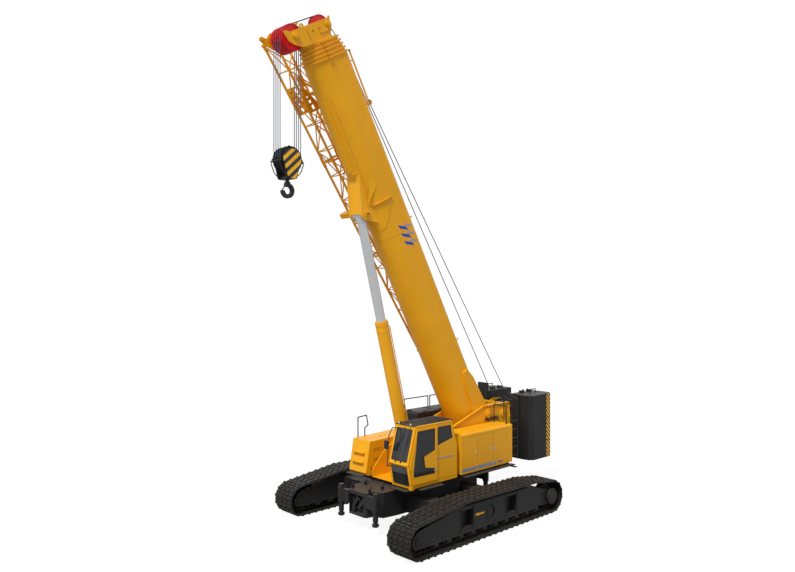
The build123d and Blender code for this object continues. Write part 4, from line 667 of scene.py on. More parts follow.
class CRANE_OT_track_trim(bpy.types.Operator):
    """Adds bolts, roller brackets and the direction arrow to the track frames"""

    bl_idname = "crane.track_trim"
    bl_label = "Trim the track frames"

    def execute(self, context):
        for name, sign in (("left", 1), ("right", -1)):
            body = f"track_{name}"
            centre = sign * GAUGE / 2
            outer = centre + sign * FRAME_HALF
            shape = Shape()
            for face, way in ((outer, sign), (centre - sign * FRAME_HALF, -sign)):
                front = face + way * BRACKET_THICK
                low, high = sorted((face, front))
                for i in range(BRACKETS):
                    x = BRACKET_START + i * BRACKET_PITCH
                    shape.box((x - 0.085, low, 0.2), (x + 0.085, high, 0.292))
                    for dx in (-0.055, 0.055):
                        bolt = Vector((x + dx, front, 0.235))
                        shape.bar(bolt, bolt + LEFT * way * 0.012, 0.015, 6)
            # bolts round the idler's hub, the final drive and the frame's round cover
            shape.bolts((2.95, outer + sign * 0.018, 0.5), LEFT * sign, 0.09, 6)
            shape.bolts((-3.18, centre + sign * DRIVE_FACE, 0.53), LEFT * sign, 0.215, 16)
            profile = ((0, 0.2), (0.012, 0.2), (0.02, 0.17), (0.02, 0.02))
            shape.turned(profile, (COVER[0], outer - sign * 0.04, COVER[1]), LEFT * sign)
            shape.bolts((COVER[0], outer - sign * 0.02, COVER[1]), LEFT * sign, 0.145, 10, 0.012, 0.01)
            shape.piece(f"track_trim_{name}", body, "dark paint", "dark_paint", 0.003)
            arrow = (
                (0.18, 0.69), (0.42, 0.69), (0.42, 0.665), (0.62, 0.72),
                (0.46, 0.775), (0.46, 0.74), (0.18, 0.74),
            )
            shape = Shape()
            start = outer + 0.003 if sign > 0 else outer
            shape.prism(arrow, (0, start, 0), FORWARD, UPWARD, 0.003)
            shape.piece(f"track_arrow_{name}", body, "body paint", "yellow_paint")
        return {"FINISHED"}


class CRANE_OT_carbody_trim(bpy.types.Operator):
    """Adds ring bolts, hoses and lifting rings to the carbody"""

    bl_idname = "crane.carbody_trim"
    bl_label = "Trim the carbody"

    def execute(self, context):
        shape = Shape()
        shape.bolts(UPWARD * 1.205, UPWARD, 0.905, 48, 0.02, 0.022)
        round_ring = [2 * pi * k / 16 for k in range(16)]
        for end in (1, -1):
            for x in (2.42, 1.9):
                for y in (-0.39, 0.39):
                    # a lifting ring that leans to the left
                    ring = [
                        (end * x + 0.05 * cos(a), y + (0.05 + 0.05 * sin(a)) * 0.5, 1.31 + 0.05 * sin(a))
                        for a in round_ring
                    ]
                    shape.sweep(ring, 0.013, 8, closed=True)
            for side in (1, -1):
                for z in (0.82, 0.95, 1.08):
                    face = Vector((end * 2.59, side * 0.6, z))
                    shape.bar(face, face + Vector((end * 0.02, 0, 0)), 0.02, 6)
        shape.piece("carbody_rings", "undercarriage", "dark steel", "dark_steel")
        shape = Shape()
        droop = (
            (0, 0, 0), (0.04, 0, -0.02), (0.075, 0.03, -0.1),
            (0.07, 0.05, -0.22), (0.02, 0.06, -0.3), (-0.01, 0.06, -0.31),
        )
        for end in (1, -1):
            for y, z in ((-0.28, 1.0), (0.0, 1.05), (0.2, 0.98)):
                start = Vector((end * 2.44, y, z))
                shape.sweep([start + Vector((end * dx, dy, dz)) for dx, dy, dz in droop], 0.012, 8)
        shape.piece("carbody_hoses", "undercarriage", "hose", "dark_paint")
        return {"FINISHED"}


# ------------------------------------------------------------------ cab
DOOR_WINDOW = [
    (1.486, 3.06), (0.74, 3.065), (0.74, 2.41), (1.211, 2.265), (1.16, 1.928),
    (0.74, 1.855), (0.74, 1.69), (1.655, 1.715), (1.64, 1.95), (1.56, 2.499),
]
QUARTER_WINDOW = [(0.56, 3.065), (-0.02, 3.065), (-0.11, 2.66), (0.56, 2.515)]
RIGHT_WINDOW = [(1.44, 3.06), (0.06, 3.065), (0.06, 2.1), (1.64, 2.1)]


POSTS = (CAB_INNER + 0.012, CAB_OUTER - 0.012)
POST_RADIUS = 0.026


def cab_panel(low, high):
    """Middle, across, up and length of a sloping panel of the cab's front."""
    up = Vector((high[0] - low[0], 0, high[1] - low[1]))
    middle = Vector(((low[0] + high[0]) / 2, (CAB_INNER + CAB_OUTER) / 2, (low[1] + high[1]) / 2))
    return middle, LEFT, up.normalized(), up.length


class CRANE_OT_cab_trim(bpy.types.Operator):
    """Adds seals, wipers, lamps, rails and handles to the cab"""

    bl_idname = "crane.cab_trim"
    bl_label = "Trim the cab"

    def execute(self, context):
        shape = Shape()
        seal = 0.022
        outer, inner = LEFT * (CAB_OUTER + 0.004), LEFT * (CAB_INNER + 0.012)
        shape.ring(QUARTER_WINDOW, inset(QUARTER_WINDOW, seal), outer, FORWARD, UPWARD, 0.012)
        shape.ring(RIGHT_WINDOW, inset(RIGHT_WINDOW, seal), inner, FORWARD, UPWARD, 0.016)
        width = CAB_OUTER - CAB_INNER - 0.15
        for low, high in ((CAB_NOSE, CAB_BROW), (CAB_TOE, CAB_NOSE)):
            middle, side, rise, length = cab_panel(low, high)
            outline = rounded(width, length - 0.15, 0.04)
            face = middle + side.cross(rise) * -0.011
            shape.ring(outline, inset(outline, 0.02), face, side, rise, 0.016)
        shape.piece("cab_seals", "superstructure", "rubber", "dark_paint")
        shape = Shape()
        shape.ring(DOOR_WINDOW, inset(DOOR_WINDOW, 0.02), (0, DOOR_FACE + 0.003, 0), FORWARD, UPWARD, 0.012)
        shape.piece("door_seal", "cab_door", "rubber", "dark_paint")
        # grey panel over the upper part of the lower pane
        shape = Shape()
        middle, side, rise, length = cab_panel(CAB_TOE, CAB_NOSE)
        sill = rounded(width - 0.06, 0.2, 0.02)
        shape.prism(sill, middle + rise * (length / 2 - 0.2) + side.cross(rise) * -0.008, side, rise, 0.014)
        shape.piece("cab_sill", "superstructure", "grey plastic", "dark_paint", 0.003)
        # wipers on the windscreen
        shape = Shape()
        middle, side, rise, length = cab_panel(CAB_NOSE, CAB_BROW)
        out = side.cross(rise)
        for foot, tip in ((-0.12, (-0.02, 0.35)), (0.1, (0.22, 0.3))):
            pivot = middle + side * foot - rise * (length / 2 - 0.05) + out * 0.012
            far = middle + side * tip[0] + rise * tip[1] + out * 0.02
            shape.bar(pivot - out * 0.01, pivot + out * 0.03, 0.02, 12)
            shape.sweep([pivot + out * 0.022, pivot.lerp(far, 0.3) + out * 0.03, far + out * 0.008], 0.007, 6)
            blade = (pivot - far).normalized() * 0.33
            shape.sweep([far - blade * 0.9, far, far + blade * 0.9], 0.006, 6)
        shape.piece("cab_wipers", "superstructure", "rubber", "dark_paint")
        # round corner posts at the front, the front mount and the hinge cover
        shape = Shape()
        for y in POSTS[::-1]:
            nose, brow, toe = (Vector((x - 0.01, y, z)) for x, z in (CAB_NOSE, CAB_BROW, CAB_TOE))
            bend = brow + Vector((-0.1, 0, 0.004))
            shape.sweep([toe, nose, brow, bend, (-0.05, y, 3.187)], POST_RADIUS, 12)
        shape.sweep([(CAB_BROW[0] - 0.005, y, CAB_BROW[1] - 0.005) for y in POSTS], POST_RADIUS, 12)
        shape.sweep([(CAB_NOSE[0] + 0.005, y, CAB_NOSE[1]) for y in POSTS], 0.034, 12)
        mount = ((0, 0.06), (0.006, 0.08), (0.05, 0.08), (0.058, 0.07))
        shape.turned(mount, (1.62, 1.37, 1.305), UPWARD, 20)
        shape.piece("cab_posts", "superstructure", "body paint", "yellow_paint")
        shape = Shape()
        shape.prism(rounded(0.1, 0.2, 0.03), (1.735, DOOR_FACE - 0.006, 2.02), FORWARD, UPWARD, 0.04)
        shape.piece("cab_hinge_cover", "superstructure", "body paint", "yellow_paint", 0.008)
        # bright rail behind the door and the door's own handle
        shape = Shape()
        shape.prism(rounded(0.73, 0.038, 0.015), (0.235, CAB_OUTER + 0.006, 2.098), FORWARD, UPWARD, 0.0002)
        shape.piece("cab_rail", "superstructure", "silver band", "rod_chrome")
        shape = Shape()
        shape.prism(rounded(0.14, 0.045, 0.02), (0.72, DOOR_FACE + 0.01, 1.78), FORWARD, UPWARD, 0.012)
        shape.piece("door_handle", "cab_door", "bright metal", "rod_chrome", 0.003)
        # lamps under the roof guard, and their backs
        shape, lenses = Shape(), Shape()
        for y in (CAB_INNER + 0.16, CAB_OUTER - 0.16):
            back = Vector((1.5, y, 3.262))
            shape.turned(((0, 0.02), (0.03, 0.045), (0.07, 0.05), (0.074, 0.042)), back, (1, 0, -0.25), 20)
            lenses.turned(((0.07, 0.041), (0.077, 0.036), (0.08, 0.01)), back, (1, 0, -0.25), 20)
        shape.piece("cab_lamps", "superstructure", "rubber", "dark_paint")
        lenses.piece("cab_lamp_lenses", "superstructure", "lamp lens", "tinted_glass")
        # mirror on the bow
        shape = Shape()
        shape.prism(rounded(0.16, 0.26, 0.03), (1.93, CAB_INNER - 0.02, 2.6), LEFT, UPWARD, 0.03)
        shape.sweep([(1.93, CAB_INNER + 0.03, 2.6), (1.95, CAB_INNER - 0.02, 2.6)], 0.01, 8)
        shape.piece("cab_mirror", "superstructure", "rubber", "dark_paint", 0.006)
        # levers and console inside
        shape = Shape()
        console = ((1.2, 1.42), (1.55, 1.42), (1.5, 2.05), (1.36, 2.1))
        shape.prism(console, LEFT * 1.16, FORWARD, UPWARD, 0.24)
        for y in (0.78, 1.3):
            shape.sweep([(0.62, y, 2.02), (0.66, y, 2.14), (0.68, y, 2.2)], 0.012, 8)
            shape.ball((0.682, y, 2.22), 0.03)
        shape.piece("cab_console", "superstructure", "rubber", "dark_paint", 0.01)
        return {"FINISHED"}


# ------------------------------------------------------------------ hoods
# each hood door with the x of its front and rear edge
DOORS = (("hood_door_1", -0.62, -1.318), ("hood_door_2", -1.354, -2.132), ("hood_door_3", -2.17, -2.882))
BAND_END, BAND_LOW, BAND_HIGH = -2.3, 1.455, 1.56
PATCH = 0.002
TANK_TOP = 3.08


class CRANE_OT_hood_trim(bpy.types.Operator):
    """Adds latches, bands and hinges to the hoods"""

    bl_idname = "crane.hood_trim"
    bl_label = "Trim the hoods"

    def execute(self, context):
        flank = Vector((0, HOOD_FACE + PATCH, 0))
        for (name, front, rear), latch in zip(DOORS, (-1.262, -2.072, -2.232)):
            shape = Shape()
            for width, height, proud, thick, z in (
                (0.055, 0.1, 0.005, 0.005, 2.0),
                (0.032, 0.07, 0.012, 0.008, 1.995),
            ):
                plate = rounded(width, height, 0.012)
                shape.prism(plate, (latch, HOOD_FACE + proud, z), FORWARD, UPWARD, thick)
            shape.piece(f"{name}_latch", name, "bright metal", "rod_chrome", 0.002)
            shape = Shape()
            band = oblong(max(rear, BAND_END), BAND_LOW, front, BAND_HIGH)
            shape.prism(band, flank, FORWARD, UPWARD, PATCH)
            shape.piece(f"{name}_band", name, "silver band", "rod_chrome")
        shape = Shape()
        for x in (-2.42, -2.52, -2.62):
            place = (x, HOOD_FACE + PATCH, 1.51)
            shape.prism(rounded(0.06, 0.075, 0.012), place, FORWARD, UPWARD, PATCH)
        shape.piece("hood_squares", "hood_door_3", "blue band", "tinted_glass")
        shape = Shape()
        shape.prism(oblong(-0.596, BAND_LOW, -0.545, BAND_HIGH), flank, FORWARD, UPWARD, PATCH)
        shape.piece("hood_front_band", "superstructure", "silver band", "rod_chrome")
        # hinge and bolt details along the roof edges
        shape = Shape()
        for x in (-0.95, -1.05, -1.72, -1.82, -2.5, -2.6):
            shape.box((x - 0.03, 1.36, 2.678), (x + 0.03, 1.4, 2.694))
        for x in (0.2, 0.42, 0.64):
            shape.box((x - 0.05, -1.12, 2.448), (x + 0.05, -1.08, 2.462))
        shape.piece("hood_roof_hinges", "superstructure", "body paint", "yellow_paint", 0.004)
        # dark step at the right hood's foot, socket, strip and painted shade of louvre slots on its inner
        # side
        shape = Shape()
        shape.box((1.56, -1.46, 1.345), (1.82, -0.72, 1.37))
        shape.box((0.98, -0.672, 1.545), (1.44, -0.664, 1.575))
        # four thin dark strips: painted shade standing for the louvre slots
        for z in (2.16, 2.1, 1.84, 1.78):
            shape.box((0.98, -0.672, z), (1.32, -0.667, z + 0.014))
        socket = ((0, 0.05), (0.01, 0.05), (0.012, 0.03))
        shape.turned(socket, (0.98, -0.672, 1.44), LEFT, 20)
        shape.piece("right_hood_trim", "superstructure", "rubber", "dark_paint", 0.003)
        # lids with their latches and the filler on the dark tank
        shape = Shape()
        for x in (-1.15, -2.0, -2.85):
            shape.box((x - 0.33, -1.38, TANK_TOP), (x + 0.33, -0.78, TANK_TOP + 0.012))
            shape.box((x - 0.06, -0.79, TANK_TOP), (x + 0.06, -0.76, TANK_TOP + 0.03))
        filler = ((0, 0.06), (0.03, 0.06), (0.035, 0.05), (0.05, 0.05))
        shape.turned(filler, (-0.85, -1.2, TANK_TOP), UPWARD, 20)
        shape.piece("tank_lids", "superstructure", "dark paint", "dark_paint", 0.004)
        return {"FINISHED"}


# ------------------------------------------------------------------ weights and winches
WEIGHT_CORNER = (-5.47, 1.43)
WEIGHT_TOP = 3.504
WEIGHT_BLOCKS = ((1.225, 1.805), (1.835, 2.635), (2.665, 3.495))
# each winch's node, the x and z of its drum and half the drum's length
WINCHES = (("winch_main", -3.7, 2.88, 0.478), ("winch_aux", -4.69, 2.9, 0.288))
DRUM_RADIUS = 0.215


class CRANE_OT_weight_trim(bpy.types.Operator):
    """Adds the warning stripes and tie rods to the counterweight"""

    bl_idname = "crane.weight_trim"
    bl_label = "Trim the counterweight"

    def execute(self, context):
        shape = Shape()
        for sign in (1, -1):
            corner = Vector((WEIGHT_CORNER[0], sign * WEIGHT_CORNER[1], 0))
            chamfer = Vector((-1, -sign, 0)).normalized()
            for way, width in ((FORWARD, 0.24), (chamfer, 0.257)):
                out = Vector((-way.y, way.x, 0))
                out *= sign if out.y * sign > 0 else -sign
                thick = 0.003 if way.cross(UPWARD).dot(out) > 0 else -0.003
                for low, high in WEIGHT_BLOCKS:
                    shape.prism(oblong(0.001, low, width, high), corner, way, UPWARD, thick)
        shape.piece("weight_stripes", "superstructure", "weight stripes", "yellow_paint")
        shape = Shape()
        rod_end = ((0, 0.05), (0.02, 0.05), (0.022, 0.028), (0.12, 0.028), (0.125, 0.02))
        for sign in (1, -1):
            for x in (-4.85, -5.1):
                shape.turned(rod_end, (x, sign * 0.68, WEIGHT_TOP), UPWARD, 16)
            shape.bolts((-4.55, sign * 1.15, WEIGHT_TOP), UPWARD, 0.07, 6)
            for z in (1.5, 2.3, 3.1):
                shape.bolts((-4.2, sign * 0.72, z), FORWARD, 0.05, 4)
        shape.piece("weight_rods", "superstructure", "dark steel", "dark_steel", 0.002)
        return {"FINISHED"}


def coil(shape, x, z, radius, half, turns, rope):
    """Rope wound on a drum along Y."""
    steps = 20
    points = []
    for i in range(turns * steps + 1):
        a = 2 * pi * i / steps
        y = -half + 2 * half * i / (turns * steps)
        points.append((x + radius * cos(a), y, z + radius * sin(a)))
    shape.sweep(points, rope, 6)


class CRANE_OT_winches(bpy.types.Operator):
    """Winds the drums and adds their bolts, the pin caps and the cheek hoses"""

    bl_idname = "crane.winches"
    bl_label = "Wind the winches"

    def execute(self, context):
        rigging = context.scene.crane_rigging
        rope = rigging.rope
        for name, x, z, half in WINCHES:
            shape = Shape()
            turns = min(round(half * 2 / (rope * 2.06)), rigging.turns)
            coil(shape, x, z, DRUM_RADIUS + rope, half - rope, turns, rope)
            shape.piece(f"{name}_rope", name, "drum rope wire", "rope_wire")
            shape = Shape()
            for way in (-1, 1):
                shape.bolts((x, way * (half + 0.04), z), LEFT * way, 0.27, 12, 0.014, 0.012)
            shape.piece(f"{name}_bolts", name, "dark steel", "dark_steel")
        # caps of the foot pin and the main winch's shaft, with their bolts
        shape = Shape()
        for sign in (1, -1):
            for x, z, radius, face in ((-2.88, 2.99, 0.17, 0.65), (-3.7, 2.88, 0.15, 0.62)):
                steps = ((0, 1), (0.03, 1), (0.04, 0.8), (0.04, 0.45), (0.06, 0.4))
                profile = [(along, radius * part) for along, part in steps]
                shape.turned(profile, (x, sign * face, z), LEFT * sign, 28)
                shape.bolts((x, sign * (face + 0.036), z), LEFT * sign, radius * 0.66, 8, 0.014, 0.014)
        shape.piece("pin_caps", "superstructure", "body paint", "yellow_paint")
        # hoses that lie along the left cheek
        shape = Shape()
        for lift in (0.0, 0.045, 0.09):
            path = [
                (-3.45, 0.655, 2.72 + lift),
                (-3.2, 0.668, 2.75 + lift),
                (-2.95, 0.668, 2.745 + lift * 0.9),
                (-2.7, 0.668, 2.735 + lift * 0.8),
            ]
            shape.sweep(path, 0.014, 8)
        shape.piece("cheek_hoses", "superstructure", "hose", "dark_paint")
        return {"FINISHED"}


# ------------------------------------------------------------------ boom
BOOM_FLANK = 0.5
MARKS, MARK_START, MARK_PITCH = 3, 7.57, 0.271
# corners of a mark, along from its own start and over the boom
BLUE_MARK = ((0, -0.64), (-0.19, -0.32), (-0.32, -0.3), (-0.13, -0.605))
SILVER_MARK = ((-0.07, -0.32), (-0.21, -0.12), (-0.28, -0.12), (-0.1, -0.41))
SEAMS = ((-0.3, 0.496), (-0.3, -0.496), (-0.98, 0.428), (-0.98, -0.428))
BELLY_MIDDLE = -0.73
SEAM_RADIUS = 0.006


def boom_patch(shape, outline, side):
    """A thin patch on the boom's left or right flank, its outline given along and over the boom."""
    sign = 1 if side > 0 else -1
    shape.prism(outline, BOOM_FOOT + LEFT * side, UP, OVER, -PATCH * sign)


def three_cornered(shape, first, second, third, thick):
    """A thin three-cornered plate."""
    run, rise = second - first, third - first
    across = run.normalized()
    reach = rise.dot(across)
    up = rise - across * reach
    shape.prism(((0, 0), (run.length, 0), (reach, up.length)), first, across, up, thick)


class CRANE_OT_boom_trim(bpy.types.Operator):
    """Adds the slanted marks, seams, gussets and belly channel to the boom"""

    bl_idname = "crane.boom_trim"
    bl_label = "Trim the boom"

    def execute(self, context):
        for colour_name, outline, paint, slot in (
            ("blue", BLUE_MARK, "blue band", "tinted_glass"),
            ("silver", SILVER_MARK, "silver band", "rod_chrome"),
        ):
            shape = Shape()
            for i in range(MARKS):
                start = MARK_START - i * MARK_PITCH
                mark = [(start + along, over) for along, over in outline]
                for side in (BOOM_FLANK + 0.0005, -BOOM_FLANK - 0.0005):
                    boom_patch(shape, mark, side)
            shape.piece(f"boom_{colour_name}_marks", "boom", paint, slot)
        # weld seams along both edges of the flanks, and round the boom at mid length
        shape = Shape()
        for over, side in SEAMS:
            for start, end in ((0.6, 7.3), (7.36, 12.8)):
                shape.bar(on_boom(start, over, side), on_boom(end, over, side), SEAM_RADIUS, 6)
        belly = [pi * k / 24 for k in range(1, 24)]
        around = [
            (BOOM_FLANK, -0.13),
            (BOOM_FLANK, BELLY_MIDDLE),
            *((BOOM_FLANK * cos(a), BELLY_MIDDLE - BOOM_FLANK * sin(a)) for a in belly),
            (-BOOM_FLANK, BELLY_MIDDLE),
            (-BOOM_FLANK, -0.13),
        ]
        shape.sweep([on_boom(7.33, over, side) for side, over in around], SEAM_RADIUS, 6)
        for i in range(9):
            along = 4.4 + i * 0.95
            for sign in (1, -1):
                foot = on_boom(along, -0.24, sign * 0.498)
                shape.bar(foot, foot + LEFT * sign * 0.01, 0.012, 6)
        shape.piece("boom_seams", "boom", "body paint", "yellow_paint")
        # plate closing the gap over the rod eye, flared gussets beside it and the channel on the belly
        shape = Shape()
        closing = ((8.435, -1.632), (9.52, -1.161), (9.515, -1.149), (8.43, -1.62))
        shape.prism(closing, BOOM_FOOT + LEFT * 0.226, UP, OVER, 0.452)
        for sign in (1, -1):
            side = sign * BOOM_FLANK
            root = on_boom(8.56, -1.32, sign * 0.303)
            three_cornered(shape, root, on_boom(9.62, -0.8, side), on_boom(9.0, -0.86, side), -0.012 * sign)
        channel = (
            (-0.15, -1.19), (0.15, -1.19), (0.15, -1.27),
            (0.13, -1.28), (-0.13, -1.28), (-0.15, -1.27),
        )
        shape.prism(channel, on_boom(9.62, 0), LEFT, OVER, 2.2)
        shape.bar(on_boom(9.56, -1.19, 0.1), on_boom(9.56, -1.27, 0.1), 0.07, 20)
        shape.piece("boom_gussets", "boom", "body paint", "yellow_paint", 0.004)
        # mouths of the rope pipe
        shape = Shape()
        mouth = ((0, 0.04), (0.03, 0.04), (0.034, 0.03))
        for along in (11.32, 12.87):
            shape.turned(mouth, on_boom(along, 0.25, 0.3), UP, 16)
        shape.piece("boom_pipe_mouths", "boom", "dark steel", "dark_steel")
        return {"FINISHED"}


class CRANE_OT_ropes(bpy.types.Operator):
    """Runs the hoist ropes from the winches up the boom and over its head"""

    bl_idname = "crane.ropes"
    bl_label = "Run the ropes"

    def execute(self, context):
        rope = context.scene.crane_rigging.rope
        for name, start, end in (
            ("main", Vector((-3.71, 0.38, 3.11)), on_boom(13.0, 0.135, 0.24)),
            ("aux", Vector((-4.7, 0.2, 3.1)), on_boom(11.3, 0.258, 0.3)),
        ):
            shape = Shape()
            shape.sweep([start, end], rope, 8)
            made = shape.piece(f"hoist_rope_{name}", None, "boom rope wire", "rope_wire")
            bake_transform(made)
        # over the head, from the top sheaves to the front ones
        shape = Shape()
        quarter = [pi * k / 12 for k in range(7)]
        for y in (-0.05, 0.05):
            tail = on_boom(13.02, 0.135, y * 2.5 + 0.115)
            top, front = on_boom(HEAD_ALONG, TOP_AXLE, y), on_boom(HEAD_ALONG, FRONT_AXLE, y)
            over_top = [top + (UP * sin(a) + OVER * cos(a)) * TOP_LAY for a in quarter]
            over_front = [front + (UP * cos(a) - OVER * sin(a)) * FRONT_LAY for a in quarter]
            shape.sweep([tail, *over_top, *over_front], rope, 8)
        shape.piece("head_ropes", "boom_head", "boom rope wire", "rope_wire")
        return {"FINISHED"}


class CRANE_OT_head_trim(bpy.types.Operator):
    """Adds caps, stops and braces to the boom head"""

    bl_idname = "crane.head_trim"
    bl_label = "Trim the boom head"

    def execute(self, context):
        shape = Shape()
        for sign in (1, -1):
            side = sign * (HEAD_FACE + 0.03)
            for over, radius in ((FRONT_AXLE, 0.1), (TOP_AXLE, 0.09)):
                centre = on_boom(HEAD_ALONG, over, side)
                cap = ((0, radius), (0.02, radius), (0.03, radius * 0.75), (0.03, 0.02))
                shape.turned(cap, centre, LEFT * sign, 28)
                shape.bolts(centre + LEFT * sign * 0.022, LEFT * sign, radius * 0.84, 8, 0.01, 0.012)
            face = BOOM_FOOT + LEFT * (sign * HEAD_FACE)
            for outline in (
                oblong(13.6, -0.62, 13.64, -0.34),
                oblong(13.62, -0.66, 13.8, -0.62),
                ((13.55, -1.06), (13.85, -1.1), (13.85, -1.07), (13.55, -1.03)),
            ):
                shape.prism(outline, face, UP, OVER, -0.02 * sign)
        # the bracket that holds the front rope guard
        bracket = (
            (13.64, -1.2), (13.66, -1.82), (13.84, -2.02), (14.04, -2.14), (14.1, -2.1),
            (14.1, -2.02), (14.0, -1.9), (14.1, -1.72), (14.08, -1.3), (13.98, -1.2),
        )
        shape.prism(bracket, BOOM_FOOT - LEFT * (HEAD_FACE + 0.001), UP, OVER, 0.022)
        shape.bar(on_boom(14.04, -2.08, -0.43), on_boom(14.04, -2.08, -0.35), 0.05, 16)
        shape.bar(on_boom(14.07, -1.3, -0.4), on_boom(14.07, -1.3, 0.38), 0.028, 12)
        shape.piece("head_caps", "boom_head", "body paint", "yellow_paint", 0.003)
        shape = Shape()
        for over in (-0.88, -0.62):
            shape.bar(on_boom(13.74, over, HEAD_FACE), on_boom(13.74, over, HEAD_FACE + 0.02), 0.018, 16)
        shape.piece("head_buttons", "boom_head", "rubber", "dark_paint")
        return {"FINISHED"}


# ------------------------------------------------------------------ folded jib
JIB_TIP, JIB_FORK = 2.65, 13.85
# over and side of each chord at the tip, then at the fork
JIB_CORNERS = (
    (0.08, -0.89, -0.56, -0.76),
    (0.08, -1.23, -0.56, -1.33),
    (-0.32, -1.23, -1.36, -1.33),
    (-0.32, -0.89, -1.36, -0.76),
)
JIB_NEAR, JIB_FAR = -0.76, -1.31
JIB_PLATE = 0.016


def holed_plate(shape, corners, hole, radius, origin, across, up, thick):
    """A four-cornered plate with a round hole through it."""
    outer = []
    for i, (a, b) in enumerate(corners):
        c, d = corners[(i + 1) % 4]
        outer += [(a + (c - a) * k / 5, b + (d - b) * k / 5) for k in range(5)]
    inner = []
    for a, b in outer:
        reach = hypot(a - hole[0], b - hole[1])
        inner.append((hole[0] + (a - hole[0]) / reach * radius, hole[1] + (b - hole[1]) / reach * radius))
    shape.ring(outer, inner, origin, across, up, thick)


def jib_point(line, part):
    """The point at a share of a jib chord's length."""
    over_tip, side_tip, over_fork, side_fork = JIB_CORNERS[line]
    along = JIB_TIP + (JIB_FORK - JIB_TIP) * part
    return on_boom(along, over_tip + (over_fork - over_tip) * part, side_tip + (side_fork - side_tip) * part)


class CRANE_OT_jib_trim(bpy.types.Operator):
    """Adds the fork, feet and stiffening plates to the folded jib"""

    bl_idname = "crane.jib_trim"
    bl_label = "Trim the jib"

    def execute(self, context):
        shape = Shape()
        for line in range(4):
            foot, far = jib_point(line, 1), jib_point(line, 0)
            way = (foot - far).normalized()
            shape.bar(foot - way * 0.12, foot + way * 0.02, 0.055, 16, 0.05)
            shape.bar(foot + LEFT * 0.05 + way * 0.03, foot - LEFT * 0.05 + way * 0.03, 0.06, 20)
            shape.bar(far + LEFT * 0.04, far - LEFT * 0.04, 0.055, 16)
        for part, half in ((0.66, 0.16), (0.35, 0.1)):
            for line in range(4):
                shape.bar(jib_point(line, part), jib_point((line + 1) % 4, part), 0.034, 12)
            for line in range(4):
                here = jib_point(line, part)
                way = (jib_point(line, part + 0.01) - here).normalized()
                shape.bar(here - way * half, here + way * half, 0.05, 14)
        shape.piece("jib_feet", "boom", "body paint", "yellow_paint")
        shape = Shape()
        bays = 13
        for i in range(bays + 1):
            for line in range(4):
                shape.ball(jib_point(line, i / bays), 0.044, 10)
        shape.piece("jib_joints", "boom", "body paint", "yellow_paint")
        # tapered plates with three holes on both sides, and the end plate between them
        shape = Shape()
        cuts = ((12.42, -1.17, -1.06), (12.02, -1.15, -0.86), (11.86, -1.14, -0.77), (11.62, -1.13, -0.65))
        for side in (JIB_NEAR, JIB_FAR):
            face = BOOM_FOOT + LEFT * side
            for (start, low, high), (end, low_end, high_end), along, over, radius in (
                (cuts[0], cuts[1], 12.1, -1.04, 0.035),
                (cuts[1], cuts[2], 11.94, -1.0, 0.05),
                (cuts[2], cuts[3], 11.76, -0.95, 0.07),
            ):
                corners = ((start, low), (start, high), (end, high_end), (end, low_end))
                holed_plate(shape, corners, (along, over), radius, face, UP, OVER, JIB_PLATE)
            shape.bar(on_boom(12.42, -1.07, side), on_boom(11.62, -0.66, side), 0.022, 12)
        for low, high in ((-1.32, -1.05), (-1.05, -0.78)):
            corners = ((12.24, low), (12.24, high), (12.5, high), (12.5, low))
            hole = (12.37, (low + high) / 2)
            holed_plate(shape, corners, hole, 0.075, on_boom(0, -1.22), UP, LEFT, JIB_PLATE)
        # arms and block that hold it to the boom's side
        shape.bar(on_boom(12.56, -1.02, -0.74), on_boom(12.26, -0.9, -0.47), 0.034, 12)
        shape.bar(on_boom(12.2, -0.98, -0.74), on_boom(12.02, -0.9, -0.47), 0.03, 12)
        block = ((12.36, -1.16), (12.72, -1.16), (12.76, -1.04), (12.44, -0.98))
        shape.prism(block, BOOM_FOOT + LEFT * JIB_NEAR, UP, OVER, -0.1)
        shape.prism(oblong(8.2, -1.24, 8.36, -1.0), BOOM_FOOT - LEFT * BOOM_FLANK, UP, OVER, 0.75)
        shape.piece("jib_plates", "boom", "body paint", "yellow_paint", 0.004)
        return {"FINISHED"}


